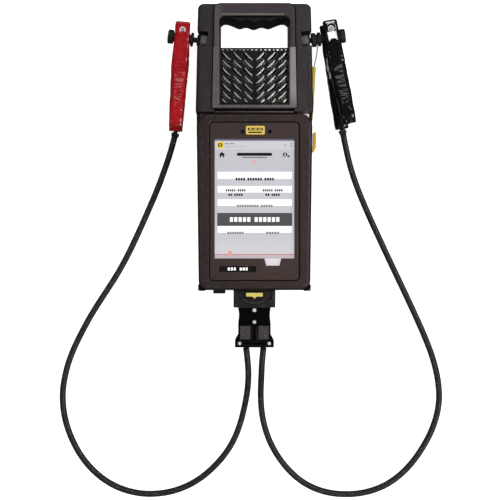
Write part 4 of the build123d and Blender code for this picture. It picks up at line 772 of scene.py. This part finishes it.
grip_middle = (GRIP_SLICES - 1) / 2
grip = piece("finger_grip", [bridged([grip_section(GRIP_HALF * (step / grip_middle - 1))
                                      for step in range(GRIP_SLICES)])], "grip")
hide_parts("handle_grip")
# A lighter strip painting the highlight on the bar's lower front edge.
highlight_strip = rounded_plate((-2.3, 155.5), 75.0, 3.0, low=72.6, high=73.7, corner=1.4, crown=0.8)
piece("handle_highlight_strip", [highlight_strip], "highlight_strip")
# A black plate painting the shadow under the handle bar.
shadow = rounded_plate((0.0, 153.6), 74.0, 1.3, low=71.0, high=73.1, corner=0.6, crown=0.1)
piece("grip_shadow", [shadow], "seam_shade_and_paint")


# -------------------- peg boss covers and dock rim
PEG_ROOT, PEG_Y, PEG_LEAN = 55.0, 130.0, math.radians(8.0)
BOSS_FOOT, BOSS_TOP, BOSS_HALF, BOSS_DROP, BOSS_ROUND = 10.0, 22.5, 5.6, 2.8, 3.0
for side_name, side in (("left", -1), ("right", 1)):
    root = Vector((side * PEG_ROOT, PEG_Y, PEG_Z))
    outward = Vector((side * math.cos(PEG_LEAN), math.sin(PEG_LEAN), 0))
    across = Vector((side * math.sin(PEG_LEAN), -math.cos(PEG_LEAN), 0))
    rings = []
    for travel, swell in ((0.7, 0.05), (0.9, 0.3), (8.3, 0.3), (8.5, 0.05)):
        profile = [(-BOSS_HALF - swell, BOSS_FOOT)]
        for start_turn, corner_side in ((180, -1), (90, 1)):
            for step in range(9):
                turn = math.radians(start_turn - 90 * step / 8)
                reach = BOSS_ROUND + swell
                profile.append((corner_side * (BOSS_HALF - BOSS_ROUND) + reach * math.cos(turn),
                                BOSS_TOP - BOSS_ROUND + reach * math.sin(turn)))
        profile.append((BOSS_HALF + swell, BOSS_FOOT))
        rings.append([(root + outward * travel + across * (x + BOSS_DROP) + Vector((0, 0, up))) * MM
                      for x, up in profile])
    piece(side_name + "_boss_cover", [bridged(rings)], "cover")

DOCK_FACE, SCOOP_Y, SCOOP_Z, SCOOP_R = 56.0, -170.7, 76.0, 22.6
RIM_Y, RIM_HALF, RIM_DROP = -166.0, 19.5, 18.5
RIM_START, RIM_SWEEP, RIM_STEPS = 205, 130, 32
rim_path = []
for step in range(RIM_STEPS + 1):
    turn = math.radians(RIM_START + RIM_SWEEP * step / RIM_STEPS)
    x, y = RIM_HALF * math.cos(turn), RIM_Y + RIM_DROP * math.sin(turn)
    sunk = SCOOP_R ** 2 - (y - SCOOP_Y) ** 2
    level = min(DOCK_FACE, SCOOP_Z - math.sqrt(sunk)) if sunk > 0 else DOCK_FACE
    rim_path.append(Vector((x, y, level)) * MM)
dock_rim = swept(rim_path, lambda share: (0.25 + 0.5 * math.sin(math.pi * share)) * MM, 10)
piece("dock_rim", [dock_rim], "grey")


# -------------------- painted shade in seams, the bezel groove and the waist gap; waist ledges and strip
ARCH_HALF, ARCH_TOP, SURROUND_HALF, SURROUND_LOW = 47.5, 169.3, 49.5, 45.9
COVER_FACE, ARCH_ROUND, SEAM_STEP, SEAM_R = 69.3, 8.0, 0.5, 0.8
# Black tubes along the seams beside the handle bay: painted shade in the gaps.
for side_name, side in (("left", -1), ("right", 1)):
    seam_shade_and_paint = [Vector((side * (SURROUND_HALF + SEAM_STEP), SURROUND_LOW, COVER_FACE)) * MM,
            Vector((side * (ARCH_HALF + SEAM_STEP), ARCH_TOP - ARCH_ROUND, COVER_FACE)) * MM]
    for step in range(1, 6):
        turn = math.radians(12 * step)
        seam_shade_and_paint.append(Vector((side * (ARCH_HALF - ARCH_ROUND + (ARCH_ROUND + SEAM_STEP) * math.cos(turn)),
                            ARCH_TOP - ARCH_ROUND + (ARCH_ROUND + SEAM_STEP) * math.sin(turn),
                            COVER_FACE - 0.1 * step)) * MM)
    piece(side_name + "_bay_seam_shade", [swept(seam_shade_and_paint, SEAM_R * MM, 10)], "seam_shade_and_paint")
BEZEL_HALF, BEZEL_TOP, BEZEL_BOTTOM = 53.0, 29.3, -157.4
# A black ring in the groove round the bezel: painted shade in the groove.
GROOVE_SHADE_LEVEL, GROOVE_SHADE_ROUND, GROOVE_SHADE_R = 70.0, 4.6, 0.8
groove_shade = []
for start_turn, side_x, top in ((0, 1, True), (90, -1, True), (180, -1, False), (270, 1, False)):
    for step in range(9):
        turn = math.radians(start_turn + 90 * step / 8)
        middle_y = BEZEL_TOP - GROOVE_SHADE_ROUND if top else BEZEL_BOTTOM + GROOVE_SHADE_ROUND
        groove_shade.append(Vector((side_x * (BEZEL_HALF - GROOVE_SHADE_ROUND) + GROOVE_SHADE_ROUND * math.cos(turn),
                              middle_y + GROOVE_SHADE_ROUND * math.sin(turn), GROOVE_SHADE_LEVEL)) * MM)
groove_shade.append(groove_shade[0].copy())
piece("bezel_groove_shade", [swept(groove_shade, GROOVE_SHADE_R * MM, 10)], "seam_shade_and_paint")
# A black plate painting the shade in the gap at the waist.
waist_gap = rounded_plate((0.0, 44.7), 98.6, 1.7, low=57.0, high=58.3, corner=0.3, crown=0.1)
piece("waist_shadow", [waist_gap], "seam_shade_and_paint")
# The right ledge is near white, a painted reflection; the left one is plain cover grey.
for side_name, side, ledge_finish in (("left", -1, "cover"), ("right", 1, "ledge")):
    ledge = rounded_plate((side * 58.2, 36.0), 14.8, 13.6, low=46.2, high=47.4, corner=0.8, crown=0.1)
    piece(side_name + "_waist_ledge", [ledge], ledge_finish)
strip = rounded_plate((-5.5, 42.9), 105.0, 1.3, low=57.0, high=59.4, corner=0.5, crown=0.3)
piece("waist_strip", [strip], "waist")


# -------------------- grille and load coils
GRILLE_FACE = 61.6
LOUVRE_COLUMNS = (8.5, 21.5, 34.5)
LOUVRE_ROWS = 6
LOUVRE_FIRST, LOUVRE_PITCH = 60.5, 9.3
LOUVRE_LENGTH, LOUVRE_WIDTH = 14.4, 3.7
SHORT_LENGTH, SHORT_Y, SHORT_SHIFT = 7.0, 54.2, 2.9
SLOTS = [(side * column, LOUVRE_FIRST + LOUVRE_PITCH * row, side, LOUVRE_LENGTH)
         for side in (-1, 1) for column in LOUVRE_COLUMNS for row in range(LOUVRE_ROWS)]
SLOTS += [(side * (column + SHORT_SHIFT), SHORT_Y, side, SHORT_LENGTH)
          for side in (-1, 1) for column in LOUVRE_COLUMNS]
HOOD_LIFT, HOOD_REACH, HOOD_EDGE, HOOD_SUNK, HOOD_SHORTER, HOOD_SKIN = 1.9, 1.9, 0.7, 0.15, 1.2, 0.65
SLOT_RIM_R = 0.3 * MM


def louvre_hood(x, y, side, length, rows=14, bands=5):
    """A pressed hood that rises from one long edge of a slanting slot."""
    slant = Vector((1, side, 0)).normalized()
    outward = Vector((-side, 1, 0)).normalized()
    centre = Vector((x, y, GRILLE_FACE))
    points, faces = [], []
    for row in range(rows + 1):
        share = row / rows
        rise = math.sin(math.pi * share) ** 0.5
        for band in range(bands + 1):
            turn = math.pi / 2 * band / bands
            offset = LOUVRE_WIDTH / 2 + HOOD_EDGE - HOOD_REACH * rise * math.sin(turn)
            lift = HOOD_LIFT * rise * (1 - math.cos(turn)) - HOOD_SUNK
            points.append((centre + slant * (share - 0.5) * (length - HOOD_SHORTER) + outward * offset
                           + Vector((0, 0, lift))) * MM)
    for row in range(rows):
        for band in range(bands):
            first = row * (bands + 1) + band
            faces.append([first, first + 1, first + bands + 2, first + bands + 1])
    return points, faces


def slot_ring(x, y, side, length):
    """A thin raised rim round a slanting slot."""
    slant, outward = Vector((1, side, 0)).normalized(), Vector((-side, 1, 0)).normalized()
    path = []
    for end in (1, -1):
        for step in range(9):
            turn = math.radians(22.5 * step - 90)
            reach = slant * ((length - LOUVRE_WIDTH) / 2 + LOUVRE_WIDTH / 2 * math.cos(turn))
            path.append((Vector((x, y, GRILLE_FACE))
                         + end * (reach + outward * LOUVRE_WIDTH / 2 * math.sin(turn))) * MM)
    return swept([*path, path[0].copy()], SLOT_RIM_R, 6)


piece("grille_rims", [slot_ring(*slot) for slot in SLOTS], "rim")
lips = piece("grille_louvres", [louvre_hood(*slot) for slot in SLOTS], "louvre_glint")
thickened(lips, HOOD_SKIN, 1.0)
# The beads carry the same painted glints as the lips.
BEAD_COUNT, BEAD_X, BEAD_PITCH, BEAD_Y = 16, -37.5, 5.0, 115.9
beads = [
    rounded_plate((BEAD_X + BEAD_PITCH * step + 0.5 * math.sin(7.0 * step), BEAD_Y),
                  2.7 + 0.8 * math.sin(4.0 * step), 1.5, low=GRILLE_FACE - 0.2,
                  high=GRILLE_FACE + 0.6 + 0.3 * math.cos(3.0 * step), corner=0.6, crown=0.4)
    for step in range(BEAD_COUNT)
]
piece("grille_beads", beads, "louvre_glint")

COIL_YS, COIL_Z = (62.0, 82.0, 102.0), 46.0
COIL_R, COIL_LENGTH, COIL_TURNS, COIL_WIRE = 7.2, 74.0, 24.5, 0.8 * MM
windings = [swept(helix((0, y, COIL_Z), (1, 0, 0), COIL_R, COIL_LENGTH, COIL_TURNS), COIL_WIRE, 8)
            for y in COIL_YS]
coils = piece("wound_coils", windings, "coil")
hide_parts("load_coils")


# -------------------- screen content
GLASS_TOP = 63.4
SCREEN_LEFT, SCREEN_RIGHT = -47.4, 47.4
LAYER_STEP, PANEL_THICK = 0.03, 0.02
screen_layers = {}


def panel(finish_name, left, right, low, high, layer=1, corner=0.15):
    """Adds a flat panel of the screen's picture. Layers stack by a few hundredths of a millimetre."""
    level = GLASS_TOP + LAYER_STEP * layer
    made = rounded_plate(((left + right) / 2, (low + high) / 2), right - left, high - low,
                         level - PANEL_THICK, level, corner, crown=0.005, steps=3)
    screen_layers.setdefault(finish_name, []).append(made)


def label_bars(finish_name, centre, width, y, height, words, layer=3):
    """A generic label: rows of small blocks grouped like words."""
    pitch = width / (sum(words) + 0.7 * (len(words) - 1))
    x = centre - width / 2
    for word in words:
        for _ in range(word):
            panel(finish_name, x + pitch * 0.1, x + pitch * 0.82, y - height / 2, y + height / 2, layer)
            x += pitch
        x += pitch * 0.7


SPLIT = -0.5
BUTTON_LEFT, BUTTON_RIGHT = -43.7, 44.6
panel("ui_page", SCREEN_LEFT, SCREEN_RIGHT, -131.6, 10.6)
panel("ui_page", 11.4, 32.0, -140.2, -131.6)
panel("ui_status", SCREEN_LEFT, SCREEN_RIGHT, 8.0, 10.7, 2)
panel("ui_header", SCREEN_LEFT, SCREEN_RIGHT, -2.3, 8.0, 2)
panel("ui_icon", -44.6, -36.4, -1.1, 6.9, 3, 1.2)
panel("ui_dark", -43.0, -38.0, 0.9, 4.9, 4, 0.8)
panel("ui_icon", -41.9, -39.1, 2.1, 3.7, 5, 0.5)
label_bars("ui_grey", -29.5, 11.0, 4.6, 1.3, (3, 4))
label_bars("ui_pale", -22.5, 25.0, 1.0, 1.0, (5, 4, 6))
for dot_x in (36.4, 43.6):
    for dot_y in (0.9, 2.8, 4.7) if dot_x > 40 else (2.8,):
        panel("ui_grey", dot_x - 0.7, dot_x + 0.7, dot_y - 0.7, dot_y + 0.7, 3, 0.6)
# Home, title bar and account symbols.
panel("ui_dark", -41.2, -36.0, -11.6, -8.4, 3, 0.2)
for step in range(5):
    panel("ui_dark", -42.0 + 0.7 * step, -35.2 - 0.7 * step, -8.5 + 0.6 * step, -7.8 + 0.6 * step, 3)
panel("ui_page", -39.4, -37.8, -11.7, -9.6, 4)
panel("ui_dark", -21.0, 21.0, -9.9, -6.3, 3, 1.6)
panel("ui_dark", -15.0, 15.0, -12.2, -11.4, 3, 0.3)
panel("ui_salmon", -1.9, 1.1, -18.6, -15.6, 3, 1.4)
panel("ui_dark", 33.4, 39.0, -11.4, -5.8, 3, 2.7)
panel("ui_page", 35.2, 37.2, -8.2, -6.6, 4, 0.7)
panel("ui_page", 34.6, 37.8, -10.6, -8.8, 4, 0.8)
panel("ui_dark", 39.2, 41.6, -11.6, -9.2, 3, 1.1)

BUTTON_ROWS = [(-28.8, -45.2, 1), (-45.6, -61.0, 2), (-61.4, -76.6, 1), (-93.1, -108.6, 2)]
for top, bottom, columns in BUTTON_ROWS:
    edges = [BUTTON_LEFT, BUTTON_RIGHT] if columns == 1 else [BUTTON_LEFT, SPLIT, BUTTON_RIGHT]
    for left, right in zip(edges, edges[1:]):
        panel("ui_white", left, right - 0.2, (top + bottom) / 2, top, 2)
        panel("ui_lower", left, right - 0.2, bottom, (top + bottom) / 2, 2)
panel("ui_band", BUTTON_LEFT - 0.4, BUTTON_RIGHT, -92.9, -77.5, 2)
label_bars("ui_dark", 0.4, 46.0, -37.4, 3.3, (4, 6, 4))
for column_x, bar_width, words in ((-22.4, 20.0, (7,)), (21.6, 16.0, (5,))):
    label_bars("ui_dark", column_x, 24.0, -50.8, 2.8, (5, 4))
    label_bars("ui_dark", column_x, 17.5, -56.0, 2.8, (2, 4))
    label_bars("ui_grey", column_x, bar_width, -101.0, 2.8, words)
label_bars("ui_grey", 0.4, 43.0, -69.0, 2.8, (9, 5))
label_bars("ui_white", 0.4, 60.0, -85.3, 5.4, (5, 6))
panel("ui_red", SCREEN_LEFT, SCREEN_RIGHT, -127.0, -126.2, 2)
panel("ui_foot", SCREEN_LEFT, SCREEN_RIGHT, -131.6, -127.0, 2)
panel("ui_salmon", -31.6, -26.4, -127.6, -122.4, 3, 2.4)
panel("ui_tab", 11.7, 31.7, -140.0, -131.7, 2)
for finish_name, plates in screen_layers.items():
    piece("screen_" + finish_name, plates, finish_name, smooth=False)


# -------------------- badge, label plate and sensor rings
BADGE_X, BADGE_Y, BADGE_TOP = 1.0, 19.6, 70.8
BADGE_BARS = [(-2.6, 16.5, 1.5, 0.6), (1.2, 18.0, 3.0, 1.2)]  # offset in y, width, height, corner
piece("badge_bars", [
    rounded_plate((BADGE_X, BADGE_Y + offset), width, height, BADGE_TOP - 0.2, BADGE_TOP + 0.15, corner, 0.1)
    for offset, width, height, corner in BADGE_BARS
], "plate")
piece("badge_marks", [
    rounded_plate((BADGE_X + offset, BADGE_Y + 1.2), 4.2, 1.5, BADGE_TOP, BADGE_TOP + 0.3, 0.7, 0.1)
    for offset in (-5.4, 0.0, 5.4)
], "badge")
PLATE_X, PLATE_Y, PLATE_TOP = -19.8, -143.8, 70.1
MARK_FIRST, MARK_PITCH = -10.5, 3.5
piece("plate_marks", [
    rounded_plate((PLATE_X + MARK_FIRST + MARK_PITCH * step, PLATE_Y), 2.3, 3.4, PLATE_TOP - 0.1,
                  PLATE_TOP + 0.12, 0.3, 0.05)
    for step in (0, 1, 2, 4, 5, 6)
], "paint")
RING_Y, RING_LEVEL, RING_R, RING_WIRE = 18.0, 69.9, 2.9, 0.35 * MM
for ring_name, ring_x in (("camera_ring", -14.0), ("sensor_ring", 18.0)):
    ring_path = [Vector((ring_x + RING_R * math.cos(turn), RING_Y + RING_R * math.sin(turn), RING_LEVEL)) * MM
                 for turn in [2 * math.pi * step / 40 for step in range(41)]]
    piece(ring_name, [swept(ring_path, RING_WIRE, 10)], "grey")


# -------------------- stylus tether
TETHER_ROUTE = [
    (76.0, 125.9, 40.0), (76.6, 122.3, 33.0), (75.6, 114.0, 28.5), (73.6, 105.5, 32.5), (72.05, 100.4, 40.0),
]
TETHER_R = 0.6 * MM
tether_path = routed(TETHER_ROUTE, 16)
tether = piece("tether_cord", [swept(tether_path, TETHER_R, 12)], "string")
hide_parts("stylus_tether")


# -------------------- light and floor
FLOOR_HALF, FLOOR_GREY, FLOOR_GLOW = 4.0, 0.35, 0.82
WORLD_STRENGTH = 0.1
corners = [(FLOOR_HALF * x, FLOOR_HALF * y, 0) for x, y in ((-1, -1), (1, -1), (1, 1), (-1, 1))]
floor = shown("floor", mesh_of("floor", corners, [[0, 1, 2, 3]]), "display", None)
floor_material = bpy.data.materials.new("floor")
floor_material.use_nodes = True
floor_shader = floor_material.node_tree.nodes["Principled BSDF"]
floor_shader.inputs["Base Color"].default_value = (FLOOR_GREY, FLOOR_GREY, FLOOR_GREY, 1.0)
floor_shader.inputs["Roughness"].default_value = 0.9
floor_shader.inputs["Specular IOR Level"].default_value = 0.1
floor_shader.inputs["Emission Color"].default_value = (1.0, 1.0, 1.0, 1.0)
floor_shader.inputs["Emission Strength"].default_value = FLOOR_GLOW
coat(floor, floor_material)
floor.visible_diffuse = False
floor.visible_glossy = False

world = bpy.data.worlds.new("studio")
world.use_nodes = True
bpy.context.scene.world = world
backdrop = world.node_tree.nodes["Background"]
backdrop.inputs["Color"].default_value = (1.0, 1.0, 1.0, 1.0)
backdrop.inputs["Strength"].default_value = WORLD_STRENGTH


def softbox(name, place, target, width, height, power):
    """An area light of a size in metres, aimed at a point."""
    data = bpy.data.lights.new(name, "AREA")
    data.shape = "RECTANGLE"
    data.size, data.size_y = width, height
    data.energy = power
    light = bpy.data.objects.new(name, data)
    light.location = place
    light.rotation_mode = "QUATERNION"
    light.rotation_quaternion = (Vector(target) - Vector(place)).to_track_quat("-Z", "Y")
    bpy.context.scene.collection.objects.link(light)
    return light


CENTRE = (0.0, -0.1, 0.03)
softbox("key", (1.2, 0.25, 1.3), CENTRE, 0.5, 0.9, 12.0)
softbox("fill", (-1.2, 0.0, 1.2), CENTRE, 0.5, 1.0, 3.0)
softbox("head", (0.1, 1.3, 1.2), CENTRE, 1.2, 0.5, 5.0)
softbox("foot", (0.0, -1.5, 1.2), CENTRE, 1.2, 0.5, 3.0)
softbox("glint", (0.95, -0.85, 1.05), (0.0, 0.08, 0.05), 0.4, 0.4, 8.0)
overhead = softbox("overhead", (0.0, 0.0, 1.9), CENTRE, 1.2, 1.2, 60.0)
overhead.visible_glossy = False
